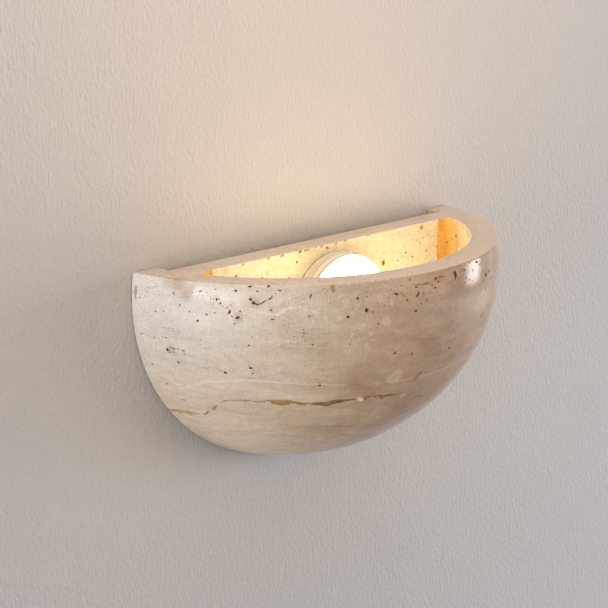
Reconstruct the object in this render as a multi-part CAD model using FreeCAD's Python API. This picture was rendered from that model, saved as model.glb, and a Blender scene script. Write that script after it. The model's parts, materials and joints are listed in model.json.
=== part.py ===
import FreeCAD, Part
import math
import os

# Half moon wall light in travertine, in millimetres.
# The origin is midway between the two wall screws, on the wall. +X is right seen from the room,
# +Z is up and the light stands out from the wall towards -Y. A depth is a distance out from the wall.

V = FreeCAD.Vector

# Stone bowl
BOWL_WIDTH = 300.0
BOWL_DEPTH = 132.0
BOWL_HEIGHT = 154.0
WIDEST_BELOW_RIM = 19.0
RIM_ABOVE_ORIGIN = 60.0
SIDE_WALL = 18.5
FLOOR = 22.0
RECESS_DEPTH = 11.5
BACK_PLATE = 18.0
EAR_WIDTH = 19.5

# Lamp: a flat round LED lamp with a twist-lock base
LAMP_DIAMETER = 75.0
LAMP_BELOW_RIM = 43.5
LAMP_LENGTH = 15.4
LAMP_TO_STONE = 0.3
HOUSING_LENGTH = 7.6
HOUSING_WALL = 1.8
HOUSING_BACK = 1.8
RIB_PITCH = 1.6
RIB_HEIGHT = 0.45
RIB_END_LAND = 0.6
BOSS_DIAMETER = 29.0
BOSS_LENGTH = 9.5
BOSS_WALL = 1.5
BOARD_STEP = 1.4
STEP_ABOVE_BOSS_END = 2.4
SPIGOT_WALL = 1.8
SPIGOT_LENGTH = 2.6
SPIGOT_CLEARANCE = 0.15
RING_LIP = 1.1
RING_ROUND = 0.7
DIFFUSER_GAP = 0.25
DIFFUSER_WALL = 1.6
DIFFUSER_FLANGE = 1.5
DIFFUSER_CROWN = 1.2
PIN_SPACING = 53.0
PIN_DIAMETER = 3.0
PIN_HEAD_DIAMETER = 4.8
PIN_HEAD_LENGTH = 2.0
PIN_RIVET_DIAMETER = 4.4
PIN_RIVET_LENGTH = 1.4
RIVET_CLEARANCE = 0.1
LED_BOARD_THICKNESS = 1.2
LED_BOARD_LEDGE = 2.0
LED_BOARD_CLEARANCE = 0.2
LEDGE_ABOVE_BACK = 5.0
CHIP_WIDTH = 3.5
CHIP_LENGTH = 2.8
CHIP_HEIGHT = 0.7
CHIP_RING_RADII = (11.0, 21.0)
CHIP_RING_COUNTS = (6, 12)
DRIVER_BOARD_THICKNESS = 1.2
CAPACITOR_DIAMETER = 8.0
CAPACITOR_LENGTH = 7.0
COIL_DIAMETER = 7.0
COIL_LENGTH = 6.0
DRIVER_CHIP_WIDTH = 2.8
DRIVER_CHIP_LENGTH = 4.4
DRIVER_CHIP_HEIGHT = 1.6
DRIVER_CHIP_OFFSET = 6.3
DRIVER_PART_OFFSET = 5.2
LAMP_LEAD_DIAMETER = 1.2
LED_LEAD_OFFSET = 9.2
PIN_LEAD_BEND = 1.6
PIN_LEAD_RISE = 1.1

# Twist lock
LOCK_ANGLE = 15.0
SLOT_SLACK_ANGLE = 1.5
SLOT_CLEARANCE = 0.25
ENTRY_CLEARANCE = 0.35
BOSS_RUNNING_CLEARANCE = 0.08
HEAD_RUNNING_GAP = 0.3

# Lampholder
HOLDER_DIAMETER = 66.0
HOLDER_LENGTH = 11.8
HOLDER_FACE = 2.2
HOLDER_WALL = 2.0
HOLDER_SINK = 0.2
HOLDER_SEAT_CLEARANCE = 0.3
SLEEVE_WALL = 1.6
COVER_THICKNESS = 1.6
COVER_CLEARANCE = 0.15
CONTACT_THICKNESS = 0.5
CONTACT_WIDTH = 6.0
CONTACT_LEAD_ANGLE = 9.0
CONTACT_TONGUE_WIDTH = 4.0
CONTACT_PAD_MARGIN = 1.0
HOLDER_SCREW_SPACING = 54.0
HOLDER_SCREW_DIAMETER = 3.0
HOLDER_SCREW_HEAD = 5.6
HOLDER_SCREW_HEAD_LENGTH = 1.8
HOLDER_SCREW_COLUMN = 7.6
HOLDER_SCREW_TIP = 1.0
COVER_SCREW_CIRCLE = 50.0
COVER_SCREW_ANGLE = 52.0
COVER_SCREW_DIAMETER = 2.2
COVER_SCREW_HEAD = 4.0
COVER_SCREW_HEAD_LENGTH = 0.9
COVER_SCREW_LENGTH = 6.0
COVER_SCREW_COLUMN = 4.6
SEAT_WIDTH = 11.0
LEAD_RADIUS_PLACE = 19.4

# Strap behind the stone
STRAP_WIDTH = 16.0
STRAP_THICKNESS = 1.5
STRAP_END = 8.0
STRAP_CORNER = 3.0

# Wall plate and its studs
PLATE_WIDTH = 160.0
PLATE_THICKNESS = 2.0
PLATE_TOP_BELOW_RIM = 22.0
PLATE_EDGE_CLEARANCE = 2.0
PLATE_CORNER = 8.0
WALL_SLOT_SPACING = 100.0
WALL_SLOT_WIDTH = 5.5
WALL_SLOT_LENGTH = 12.0
STUD_DIAMETER = 6.0
STUD_SPACING = 144.0
STUDS_BELOW_RIM = 66.0
STUD_HEAD_DIAMETER = 8.4
STUD_HEAD_LENGTH = 1.2
STUD_TIP = 2.5
STUD_CHAMFER = 0.7
STUD_HOLE_CLEARANCE = 1.0
WASHER_DIAMETER = 20.0
WASHER_THICKNESS = 2.0
WASHER_HOLE_CLEARANCE = 0.2
NUT_DIAMETER = 18.0
NUT_KNURL_LENGTH = 6.0
NUT_COLLAR_DIAMETER = 12.0
NUT_COLLAR_LENGTH = 3.0
NUT_CHAMFER = 0.6
KNURL_PITCH = 1.9
KNURL_DEPTH = 0.5
THREAD_CLEARANCE = 0.05

# Cable bushing
BUSHING_BORE = 9.0
BUSHING_WALL = 1.6
BUSHING_FLANGE = 2.2
BUSHING_FLANGE_THICKNESS = 1.5
BUSHING_ROUND = 0.6
BUSHING_LEFT_OF_BLOCK = 22.0

# Terminal block
POLES = 3
POLE_PITCH = 9.5
BLOCK_LENGTH = 20.0
BLOCK_DEPTH = 8.5
BLOCK_RIGHT_OF_ORIGIN = 20.0
BLOCK_ABOVE_PLATE_EDGE = 3.0
BLOCK_EDGE_ROUND = 0.8
BARREL_DIAMETER = 4.6
BARREL_BORE = 3.0
BARREL_END_INSET = 2.5
BARREL_AXIS_DEPTH = 3.6
WIRE_HOLE_DIAMETER = 3.2
CLAMP_SCREW_DIAMETER = 2.4
CLAMP_SCREW_TIP = 0.2
CLAMP_SCREW_SINK = 0.6
CLAMP_SCREW_SPACING = 8.0
BLOCK_SCREW_DIAMETER = 2.5
BLOCK_SCREW_HEAD = 4.2
BLOCK_SCREW_HEAD_LENGTH = 1.4
BLOCK_SCREW_SINK = 3.0

# Earth connection
EARTH_RIGHT_OF_BLOCK = 32.0
EARTH_SCREW_DIAMETER = 4.0
EARTH_SCREW_HEAD = 7.0
EARTH_SCREW_HEAD_LENGTH = 2.4
EARTH_WASHER_DIAMETER = 9.0
EARTH_WASHER_THICKNESS = 0.8
EARTH_LUG_THICKNESS = 0.8
EARTH_LUG_REACH = 9.0
EARTH_LUG_WALL = 0.5
EARTH_LUG_BARREL = 5.0

# Internal leads
LEAD_DIAMETER = 2.2
LEAD_BEND = 4.5
LEAD_INTO_BARREL = 4.0
LIVE_LEAD_OUT = 9.0
LEAD_LANE = 4.5
LEAD_CROSS_ABOVE_LAMP = 10.0
LEAD_HOLE_CLEARANCE = 0.2

# Points across a dome's half section, as shares of its radius
DOME_SHARES = (0, 0.5, 1)

# Screw drives, as shares of the screw's diameter or head
SLOT_SHARE = 0.2
SLOT_DEPTH_SHARE = 0.25
CROSS_ARM_SHARE = 0.33
CROSS_BAR_SHARE = 0.07

OVERRUN = 2.0
TOUCH = 0.02

# Worked out from the driving dimensions

plan_radius = ((BOWL_WIDTH / 2) ** 2 + BOWL_DEPTH ** 2) / (2 * BOWL_DEPTH)
centre_behind_wall = plan_radius - BOWL_DEPTH
wall_share = math.sqrt(1 - (centre_behind_wall / plan_radius) ** 2)
bowl_drop = (BOWL_HEIGHT - WIDEST_BELOW_RIM) / wall_share
rim_z = RIM_ABOVE_ORIGIN
widest_z = rim_z - WIDEST_BELOW_RIM
recess_half_width = BOWL_WIDTH / 2 - EAR_WIDTH
recess_half_height = BOWL_HEIGHT - WIDEST_BELOW_RIM - EAR_WIDTH

inner_face = RECESS_DEPTH + BACK_PLATE
lamp_z = rim_z - LAMP_BELOW_RIM
lamp_radius = LAMP_DIAMETER / 2
lamp_back = inner_face + LAMP_TO_STONE
lamp_front = lamp_back + LAMP_LENGTH
housing_front = lamp_back + HOUSING_LENGTH
boss_radius = BOSS_DIAMETER / 2
boss_end = lamp_back - BOSS_LENGTH
boss_step = boss_end + STEP_ABOVE_BOSS_END
spigot_radius = lamp_radius - HOUSING_WALL
spigot_front = housing_front + SPIGOT_LENGTH
ledge_depth = lamp_back + LEDGE_ABOVE_BACK
pin_circle = PIN_SPACING / 2
pin_radius = PIN_DIAMETER / 2
pin_head_radius = PIN_HEAD_DIAMETER / 2

holder_front = inner_face - HOLDER_SINK
holder_back = holder_front - HOLDER_LENGTH
holder_radius = HOLDER_DIAMETER / 2
holder_face_back = holder_front - HOLDER_FACE
cover_front = holder_back + COVER_THICKNESS
pin_head_far = holder_face_back - HEAD_RUNNING_GAP
pin_head_near = pin_head_far - PIN_HEAD_LENGTH
contact_far = pin_head_near - HEAD_RUNNING_GAP
contact_near = contact_far - CONTACT_THICKNESS
seat_radius = holder_radius + HOLDER_SEAT_CLEARANCE
wire_bore_radius = seat_radius - SEAT_WIDTH
holder_screw_circle = HOLDER_SCREW_SPACING / 2

strap_near = RECESS_DEPTH - STRAP_THICKNESS
stud_z = rim_z - STUDS_BELOW_RIM
stud_radius = STUD_DIAMETER / 2
washer_far = inner_face + WASHER_THICKNESS
nut_far = washer_far + NUT_COLLAR_LENGTH + NUT_KNURL_LENGTH
plate_top = rim_z - PLATE_TOP_BELOW_RIM
plate_half = PLATE_WIDTH / 2
corner_share = (plate_half + PLATE_EDGE_CLEARANCE) / recess_half_width
plate_bottom = widest_z - recess_half_height * math.sqrt(1 - corner_share ** 2) + PLATE_EDGE_CLEARANCE

block_height = POLES * POLE_PITCH
block_z = plate_bottom + BLOCK_ABOVE_PLATE_EDGE + block_height / 2
block_x = BLOCK_RIGHT_OF_ORIGIN
block_far = PLATE_THICKNESS + BLOCK_DEPTH
block_right = block_x + BLOCK_LENGTH / 2
wire_depth = PLATE_THICKNESS + BARREL_AXIS_DEPTH
bushing_x = block_x - BUSHING_LEFT_OF_BLOCK
bushing_outer = BUSHING_BORE / 2 + BUSHING_WALL
earth_x = block_x + EARTH_RIGHT_OF_BLOCK
lead_radius = LEAD_DIAMETER / 2
pole_heights = [block_z + POLE_PITCH * ((POLES - 1) / 2 - i) for i in range(POLES)]
earth_z = pole_heights[-1]


# Basic shapes

def rod(radius, near, far, x=0.0, z=0.0):
    """Round bar square to the wall, from one depth to a greater one."""
    return Part.makeCylinder(radius, far - near, V(x, -near, z), V(0, -1, 0))


def tube(outer, inner, near, far, x=0.0, z=0.0):
    """Round tube square to the wall."""
    return rod(outer, near, far, x, z).cut(rod(inner, near - OVERRUN, far + OVERRUN, x, z))


def cone(near_radius, far_radius, near, far, x=0.0, z=0.0):
    """Tapered round bar square to the wall."""
    return Part.makeCone(near_radius, far_radius, far - near, V(x, -near, z), V(0, -1, 0))


def block(x_low, x_high, near, far, z_low, z_high):
    """Rectangular block between two depths."""
    return Part.makeBox(x_high - x_low, far - near, z_high - z_low, V(x_low, -far, z_low))


def rounded_block(x_low, x_high, near, far, z_low, z_high, corner):
    """Block with its four corners rounded, seen from the room."""
    body = block(x_low, x_high, near, far, z_low, z_high)
    edges = [e for e in body.Edges if abs(e.tangentAt(e.FirstParameter).y) > 1 - TOUCH]
    return body.makeFillet(corner, edges)


def slot(width, length, near, far, x, z):
    """Straight slot along X with round ends, as a cutting body."""
    reach = (length - width) / 2
    middle = block(x - reach, x + reach, near, far, z - width / 2, z + width / 2)
    return middle.fuse([rod(width / 2, near, far, x - reach, z), rod(width / 2, near, far, x + reach, z)])


def screw_slot(width, far, x, z):
    """Straight driver slot in a screw's end, as a cutting body."""
    half = width * SLOT_SHARE / 2
    return block(x - width, x + width, far - width * SLOT_DEPTH_SHARE, far + OVERRUN, z - half, z + half)


def on_circle(radius, degrees):
    """Place on a circle round the lamp's axis, from +X towards +Z."""
    turn = math.radians(degrees)
    return radius * math.cos(turn), lamp_z + radius * math.sin(turn)


def wedge(radius, near, far, start, stop):
    """Slice of a round bar on the lamp's axis, from one angle to another."""
    centre = V(0, -near, lamp_z)
    x1, z1 = on_circle(radius, start)
    x2, z2 = on_circle(radius, (start + stop) / 2)
    x3, z3 = on_circle(radius, stop)
    arc = Part.Arc(V(x1, -near, z1), V(x2, -near, z2), V(x3, -near, z3)).toShape()
    sides = [Part.makeLine(centre, V(x1, -near, z1)), arc, Part.makeLine(V(x3, -near, z3), centre)]
    return Part.Face(Part.Wire(sides)).extrude(V(0, near - far, 0))


def arc_band(outer, inner, near, far, start, stop):
    """Curved bar round the lamp's axis."""
    hollow = rod(inner, near - OVERRUN, far + OVERRUN, 0, lamp_z)
    return wedge(outer, near, far, start, stop).cut(hollow)


def toothed_rod(radius, depth, pitch, near, far, x, z):
    """Round bar with small V grooves along it."""
    teeth = round(2 * math.pi * radius / pitch)
    points = []
    for i in range(2 * teeth):
        turn = math.pi * i / teeth
        r = radius if i % 2 == 0 else radius - depth
        points.append(V(x + r * math.cos(turn), -near, z + r * math.sin(turn)))
    outline = Part.makePolygon(points + points[:1])
    return Part.Face(outline).extrude(V(0, near - far, 0))


def lead(points, radius, bend):
    """Round lead through the points, with a round bend at each one between its ends."""
    edges = []
    start = points[0]
    for before, corner, after in zip(points, points[1:], points[2:]):
        inward = (before - corner).normalize()
        outward = (after - corner).normalize()
        half = inward.getAngle(outward) / 2
        reach = bend / math.tan(half)
        middle = (inward + outward).normalize() * (bend / math.sin(half) - bend)
        first = corner + inward * reach
        last = corner + outward * reach
        edges.append(Part.makeLine(start, first))
        edges.append(Part.Arc(first, corner + middle, last).toShape())
        start = last
    edges.append(Part.makeLine(start, points[-1]))
    path = Part.Wire(edges)
    section = Part.Wire(Part.makeCircle(radius, points[0], points[1] - points[0]))
    return path.makePipeShell([section], True, False)


# Stone

def half_bowl(radius, drop, top_z):
    """Turned solid with part of an ellipse as its side: radius across, drop from widest to bottom."""
    low = V(0, centre_behind_wall, widest_z - radius)
    rise = math.asin((top_z - widest_z) / drop)
    high = V(radius * math.cos(rise), centre_behind_wall, widest_z + radius * math.sin(rise))
    turn = (rise - math.pi / 2) / 2
    mid = V(radius * math.cos(turn), centre_behind_wall, widest_z + radius * math.sin(turn))
    stretch = FreeCAD.Matrix()
    stretch.move(V(0, 0, -widest_z))
    stretch.scale(1, 1, drop / radius)
    stretch.move(V(0, 0, widest_z))
    side = Part.Arc(low, mid, high).toShape().transformGeometry(stretch).Edges[0]
    bottom = side.valueAt(side.FirstParameter)
    edge = side.valueAt(side.LastParameter)
    middle = V(0, centre_behind_wall, edge.z)
    outline = Part.Wire([side, Part.makeLine(edge, middle), Part.makeLine(middle, bottom)])
    return Part.Face(outline).revolve(V(0, centre_behind_wall, 0), V(0, 0, 1), 360)


def moon_prism(half_width, half_height, near, far):
    """Oval prism square to the wall, round the bowl's widest level."""
    stretch = FreeCAD.Matrix()
    stretch.move(V(0, 0, -widest_z))
    stretch.scale(1, 1, half_height / half_width)
    stretch.move(V(0, 0, widest_z))
    return rod(half_width, near, far, 0, widest_z).transformGeometry(stretch)


def stone_bowl():
    reach = BOWL_WIDTH + BOWL_DEPTH
    outer = half_bowl(plan_radius, bowl_drop, rim_z)
    outer = outer.common(block(-reach, reach, 0, reach, rim_z - reach, rim_z))
    hollow = half_bowl(plan_radius - SIDE_WALL, bowl_drop - FLOOR, rim_z + OVERRUN)
    hollow = hollow.common(block(-reach, reach, inner_face, reach, rim_z - reach, rim_z + OVERRUN))
    recess = moon_prism(recess_half_width, recess_half_height, -OVERRUN, RECESS_DEPTH)
    cuts = [recess, rod(seat_radius, holder_back, inner_face + OVERRUN, 0, lamp_z)]
    cuts.append(rod(wire_bore_radius, RECESS_DEPTH - OVERRUN, inner_face, 0, lamp_z))
    for side in (-1, 1):
        hole = stud_radius + STUD_HOLE_CLEARANCE
        cuts.append(rod(hole, RECESS_DEPTH - OVERRUN, inner_face + OVERRUN, side * STUD_SPACING / 2, stud_z))
        screw = HOLDER_SCREW_DIAMETER / 2 + SLOT_CLEARANCE
        cuts.append(rod(screw, RECESS_DEPTH - OVERRUN, inner_face, 0, lamp_z + side * holder_screw_circle))
    return outer.cut(hollow).cut(cuts).removeSplitter()


# Wall plate and what fixes the stone to it

def wall_plate():
    plate = rounded_block(-plate_half, plate_half, 0, PLATE_THICKNESS, plate_bottom, plate_top, PLATE_CORNER)
    near = -OVERRUN
    far = PLATE_THICKNESS + OVERRUN
    cuts = [rod(bushing_outer, near, far, bushing_x, block_z)]
    cuts.append(rod(EARTH_SCREW_DIAMETER / 2 + TOUCH, near, far, earth_x, earth_z))
    cuts.append(rod(BLOCK_SCREW_DIAMETER / 2 + TOUCH, near, far, block_x, block_screw_z()))
    for side in (-1, 1):
        cuts.append(slot(WALL_SLOT_WIDTH, WALL_SLOT_LENGTH, near, far, side * WALL_SLOT_SPACING / 2, 0))
        cuts.append(rod(stud_radius, near, far, side * STUD_SPACING / 2, stud_z))
        cuts.append(rod(STUD_HEAD_DIAMETER / 2, near, STUD_HEAD_LENGTH, side * STUD_SPACING / 2, stud_z))
    return plate.cut(cuts)


def wall_stud(x):
    tip = nut_far + STUD_TIP
    shank = rod(stud_radius, 0, tip - STUD_CHAMFER, x, stud_z)
    head = rod(STUD_HEAD_DIAMETER / 2, 0, STUD_HEAD_LENGTH, x, stud_z)
    end = cone(stud_radius, stud_radius - STUD_CHAMFER, tip - STUD_CHAMFER, tip, x, stud_z)
    return shank.fuse([head, end]).removeSplitter()


def stud_washer(x):
    return tube(WASHER_DIAMETER / 2, stud_radius + WASHER_HOLE_CLEARANCE, inner_face, washer_far, x, stud_z)


def knurled_nut(x):
    knurl_near = washer_far + NUT_COLLAR_LENGTH
    radius = NUT_DIAMETER / 2
    collar = rod(NUT_COLLAR_DIAMETER / 2, washer_far, knurl_near, x, stud_z)
    grip = toothed_rod(radius, KNURL_DEPTH, KNURL_PITCH, knurl_near, nut_far, x, stud_z)
    middle = nut_far - NUT_CHAMFER
    waist = rod(radius, knurl_near + NUT_CHAMFER, middle, x, stud_z)
    bevel_near = cone(radius - NUT_CHAMFER, radius, knurl_near, knurl_near + NUT_CHAMFER, x, stud_z)
    bevel_far = cone(radius, radius - NUT_CHAMFER, middle, nut_far, x, stud_z)
    grip = grip.common(waist.fuse([bevel_near, bevel_far]))
    bore = rod(stud_radius + THREAD_CLEARANCE, washer_far - OVERRUN, nut_far + OVERRUN, x, stud_z)
    return collar.fuse(grip).cut(bore)


def cable_bushing():
    far = PLATE_THICKNESS + BUSHING_FLANGE_THICKNESS
    sleeve = rod(bushing_outer, 0, far, bushing_x, block_z)
    flange = rod(bushing_outer + BUSHING_FLANGE, PLATE_THICKNESS, far, bushing_x, block_z)
    body = sleeve.fuse(flange).cut(rod(BUSHING_BORE / 2, -OVERRUN, far + OVERRUN, bushing_x, block_z))
    mouths = [e for e in body.Edges if e.Closed and abs(e.BoundBox.YMin + far) < TOUCH]
    return body.makeFillet(BUSHING_ROUND, mouths)


# Terminal block and earth

def block_screw_z():
    """The block's fixing screw stands between its first two poles."""
    return pole_heights[0] - POLE_PITCH / 2


def pole_bar(radius, x_low, x_high, z):
    """Round bar along X through one pole."""
    return Part.makeCylinder(radius, x_high - x_low, V(x_low, -wire_depth, z), V(1, 0, 0))


def clamp_places():
    """Each clamping screw's x and z: two to a pole."""
    places = []
    for z in pole_heights:
        for side in (-1, 1):
            places.append((block_x + side * CLAMP_SCREW_SPACING / 2, z))
    return places


def terminal_block():
    left = block_x - BLOCK_LENGTH / 2
    low = block_z - block_height / 2
    top = block_z + block_height / 2
    body = rounded_block(left, block_right, PLATE_THICKNESS, block_far, low, top, BLOCK_EDGE_ROUND)
    cuts = []
    for z in pole_heights:
        barrel_left = left + BARREL_END_INSET
        barrel_right = block_right - BARREL_END_INSET
        cuts.append(pole_bar(BARREL_DIAMETER / 2, barrel_left, barrel_right, z))
        cuts.append(pole_bar(WIRE_HOLE_DIAMETER / 2, left - OVERRUN, block_right + OVERRUN, z))
    for x, z in clamp_places():
        cuts.append(rod(CLAMP_SCREW_DIAMETER / 2 + TOUCH, wire_depth, block_far + OVERRUN, x, z))
    screw_z = block_screw_z()
    head_near = block_far - BLOCK_SCREW_SINK - BLOCK_SCREW_HEAD_LENGTH
    shaft = BLOCK_SCREW_DIAMETER / 2 + TOUCH
    cuts.append(rod(shaft, PLATE_THICKNESS - OVERRUN, block_far, block_x, screw_z))
    cuts.append(rod(BLOCK_SCREW_HEAD / 2 + TOUCH, head_near, block_far + OVERRUN, block_x, screw_z))
    return body.cut(cuts)


def terminal_barrel(z):
    left = block_x - BLOCK_LENGTH / 2 + BARREL_END_INSET
    right = block_right - BARREL_END_INSET
    body = pole_bar(BARREL_DIAMETER / 2, left, right, z)
    cuts = [pole_bar(BARREL_BORE / 2, left - OVERRUN, right + OVERRUN, z)]
    for x, place_z in clamp_places():
        if place_z == z:
            cuts.append(rod(CLAMP_SCREW_DIAMETER / 2 + TOUCH, wire_depth, block_far, x, z))
    return body.cut(cuts)


def terminal_screw(x, z):
    near = wire_depth + lead_radius + CLAMP_SCREW_TIP
    far = block_far - CLAMP_SCREW_SINK
    body = rod(CLAMP_SCREW_DIAMETER / 2, near, far, x, z)
    return body.cut(screw_slot(CLAMP_SCREW_DIAMETER, far, x, z))


def terminal_fixing_screw():
    z = block_screw_z()
    head_near = block_far - BLOCK_SCREW_SINK - BLOCK_SCREW_HEAD_LENGTH
    shaft = rod(BLOCK_SCREW_DIAMETER / 2, 0, head_near, block_x, z)
    head = rod(BLOCK_SCREW_HEAD / 2, head_near, head_near + BLOCK_SCREW_HEAD_LENGTH, block_x, z)
    return shaft.fuse(head)


def earth_stack():
    """Depths of the lug, the washer and the screw head on the plate."""
    lug_far = PLATE_THICKNESS + EARTH_LUG_THICKNESS
    washer = lug_far + EARTH_WASHER_THICKNESS
    return lug_far, washer, washer + EARTH_SCREW_HEAD_LENGTH


def earth_ring(near, far):
    """Ring round the earth screw."""
    hole = EARTH_SCREW_DIAMETER / 2 + TOUCH
    return tube(EARTH_WASHER_DIAMETER / 2, hole, near, far, earth_x, earth_z)


def earth_lug_lead_depth():
    """Depth of the earth lead's axis where it enters the lug's barrel."""
    return PLATE_THICKNESS + EARTH_LUG_WALL + lead_radius + TOUCH


def earth_lug():
    lug_far = earth_stack()[0]
    ring = earth_ring(PLATE_THICKNESS, lug_far)
    root = earth_x - EARTH_WASHER_DIAMETER / 2
    mouth = earth_x - EARTH_LUG_REACH - EARTH_LUG_BARREL
    seat = earth_x - EARTH_LUG_REACH
    depth = earth_lug_lead_depth()
    outer = lead_radius + EARTH_LUG_WALL
    barrel = Part.makeCylinder(outer, EARTH_LUG_BARREL, V(mouth, -depth, earth_z), V(1, 0, 0))
    end = root + EARTH_LUG_THICKNESS
    tongue = block(mouth, end, PLATE_THICKNESS, lug_far, earth_z - outer, earth_z + outer)
    bore = Part.makeCylinder(lead_radius + TOUCH, EARTH_LUG_BARREL + OVERRUN,
                             V(mouth - OVERRUN, -depth, earth_z), V(1, 0, 0))
    return ring.fuse([barrel, tongue]).cut(bore).removeSplitter(), seat


def earth_screw():
    washer_depth, head_far = earth_stack()[1:]
    shank = rod(EARTH_SCREW_DIAMETER / 2, 0, washer_depth, earth_x, earth_z)
    head = rod(EARTH_SCREW_HEAD / 2, washer_depth, head_far, earth_x, earth_z)
    return shank.fuse(head).cut(screw_slot(EARTH_SCREW_HEAD, head_far, earth_x, earth_z))


def earth_washer():
    lug_far, washer_depth = earth_stack()[:2]
    return earth_ring(lug_far, washer_depth)


# Internal leads

def lamp_lead(pole, side, lane, rise):
    """Lead from one pole of the block up behind the stone to one contact of the holder."""
    z = pole_heights[pole]
    lane_x = block_right + LIVE_LEAD_OUT + lane * LEAD_LANE
    end_x = side * LEAD_RADIUS_PLACE
    start_x = block_right - BARREL_END_INSET - LEAD_INTO_BARREL
    points = [V(start_x, -wire_depth, z), V(lane_x, -wire_depth, z), V(lane_x, -wire_depth, lamp_z + rise)]
    points.append(V(end_x, -wire_depth, lamp_z + rise))
    if rise > 0:
        points.append(V(end_x, -wire_depth, lamp_z))
    points.append(V(end_x, -contact_near, lamp_z))
    return lead(points, lead_radius, LEAD_BEND)


def earth_lead():
    z = earth_z
    seat = earth_lug()[1]
    depth = earth_lug_lead_depth()
    start = block_right - BARREL_END_INSET - LEAD_INTO_BARREL
    mouth = seat - EARTH_LUG_BARREL
    third = (mouth - block_right) / 3
    points = [V(start, -wire_depth, z), V(block_right + third, -wire_depth, z),
              V(mouth - third, -depth, z), V(seat, -depth, z)]
    return lead(points, lead_radius, LEAD_BEND)


# Lampholder and the strap behind the stone

def holder_strap():
    reach = holder_screw_circle + STRAP_END
    half = STRAP_WIDTH / 2
    strap = rounded_block(-half, half, strap_near, RECESS_DEPTH, lamp_z - reach, lamp_z + reach, STRAP_CORNER)
    holes = [rod(HOLDER_SCREW_DIAMETER / 2 + TOUCH, strap_near - OVERRUN, RECESS_DEPTH + OVERRUN, 0,
                 lamp_z + side * holder_screw_circle) for side in (-1, 1)]
    return strap.cut(holes)


def holder_screw(side):
    z = lamp_z + side * holder_screw_circle
    head_near = holder_face_back
    head_far = head_near + HOLDER_SCREW_HEAD_LENGTH
    shank = rod(HOLDER_SCREW_DIAMETER / 2, strap_near - HOLDER_SCREW_TIP, head_near, 0, z)
    head = rod(HOLDER_SCREW_HEAD / 2, head_near, head_far, 0, z)
    arm = HOLDER_SCREW_HEAD * CROSS_ARM_SHARE
    bar = HOLDER_SCREW_HEAD * CROSS_BAR_SHARE
    sunk = head_far - HOLDER_SCREW_HEAD_LENGTH / 2
    cross = [block(-arm, arm, sunk, head_far + OVERRUN, z - bar, z + bar),
             block(-bar, bar, sunk, head_far + OVERRUN, z - arm, z + arm)]
    return shank.fuse(head).cut(cross)


def cover_screw_places():
    """The two screws of the cover lie across from each other."""
    return [on_circle(COVER_SCREW_CIRCLE / 2, COVER_SCREW_ANGLE + turn) for turn in (0, 180)]


def pin_slot(turn):
    """Arc slot with a round entry at its far end, as a cutting body."""
    near = holder_face_back - OVERRUN
    far = holder_front + OVERRUN
    half = pin_radius + SLOT_CLEARANCE
    start = turn - SLOT_SLACK_ANGLE
    stop = turn + LOCK_ANGLE
    band = arc_band(pin_circle + half, pin_circle - half, near, far, start, stop)
    x, z = on_circle(pin_circle, start)
    end = rod(half, near, far, x, z)
    x, z = on_circle(pin_circle, stop)
    entry = rod(pin_head_radius + ENTRY_CLEARANCE, near, far, x, z)
    return band.fuse([end, entry])


def holder_body():
    sleeve_bore = boss_radius + BOSS_RUNNING_CLEARANCE
    shell = rod(holder_radius, holder_back, holder_front, 0, lamp_z)
    room = rod(holder_radius - HOLDER_WALL, holder_back - OVERRUN, holder_face_back, 0, lamp_z)
    shell = shell.cut(room)
    adds = [rod(sleeve_bore + SLEEVE_WALL, cover_front, holder_front, 0, lamp_z)]
    for side in (-1, 1):
        z = lamp_z + side * holder_screw_circle
        adds.append(rod(HOLDER_SCREW_COLUMN / 2, cover_front, holder_face_back, 0, z))
    for x, z in cover_screw_places():
        adds.append(rod(COVER_SCREW_COLUMN / 2, cover_front, holder_face_back, x, z))
    body = shell.fuse(adds)
    cuts = [rod(sleeve_bore, holder_back, holder_front + OVERRUN, 0, lamp_z), pin_slot(0), pin_slot(180)]
    hole = HOLDER_SCREW_DIAMETER / 2 + SLOT_CLEARANCE
    sink = HOLDER_SCREW_HEAD / 2 + SLOT_CLEARANCE
    for side in (-1, 1):
        z = lamp_z + side * holder_screw_circle
        cuts.append(rod(hole, holder_back, holder_front, 0, z))
        cuts.append(rod(sink, holder_face_back, holder_front + OVERRUN, 0, z))
    for x, z in cover_screw_places():
        depth = holder_back + COVER_SCREW_LENGTH
        cuts.append(rod(COVER_SCREW_DIAMETER / 2 + TOUCH, holder_back, depth, x, z))
    return body.cut(cuts).removeSplitter()


def contact_span():
    """Angles that a contact strip covers, either side of its locked pin."""
    return -CONTACT_LEAD_ANGLE, LOCK_ANGLE + CONTACT_LEAD_ANGLE


def contact_strip(turn):
    start, stop = contact_span()
    outer = pin_circle + CONTACT_WIDTH / 2
    inner = pin_circle - CONTACT_WIDTH / 2
    strip = arc_band(outer, inner, contact_near, contact_far, turn + start, turn + stop)
    side = 1 if turn == 0 else -1
    tip = LEAD_RADIUS_PLACE - CONTACT_TONGUE_WIDTH / 2
    low = min(side * tip, side * (inner + CONTACT_THICKNESS))
    high = max(side * tip, side * (inner + CONTACT_THICKNESS))
    half = CONTACT_TONGUE_WIDTH / 2
    tongue = block(low, high, contact_near, contact_far, lamp_z - half, lamp_z + half)
    return strip.fuse(tongue).removeSplitter()


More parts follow.
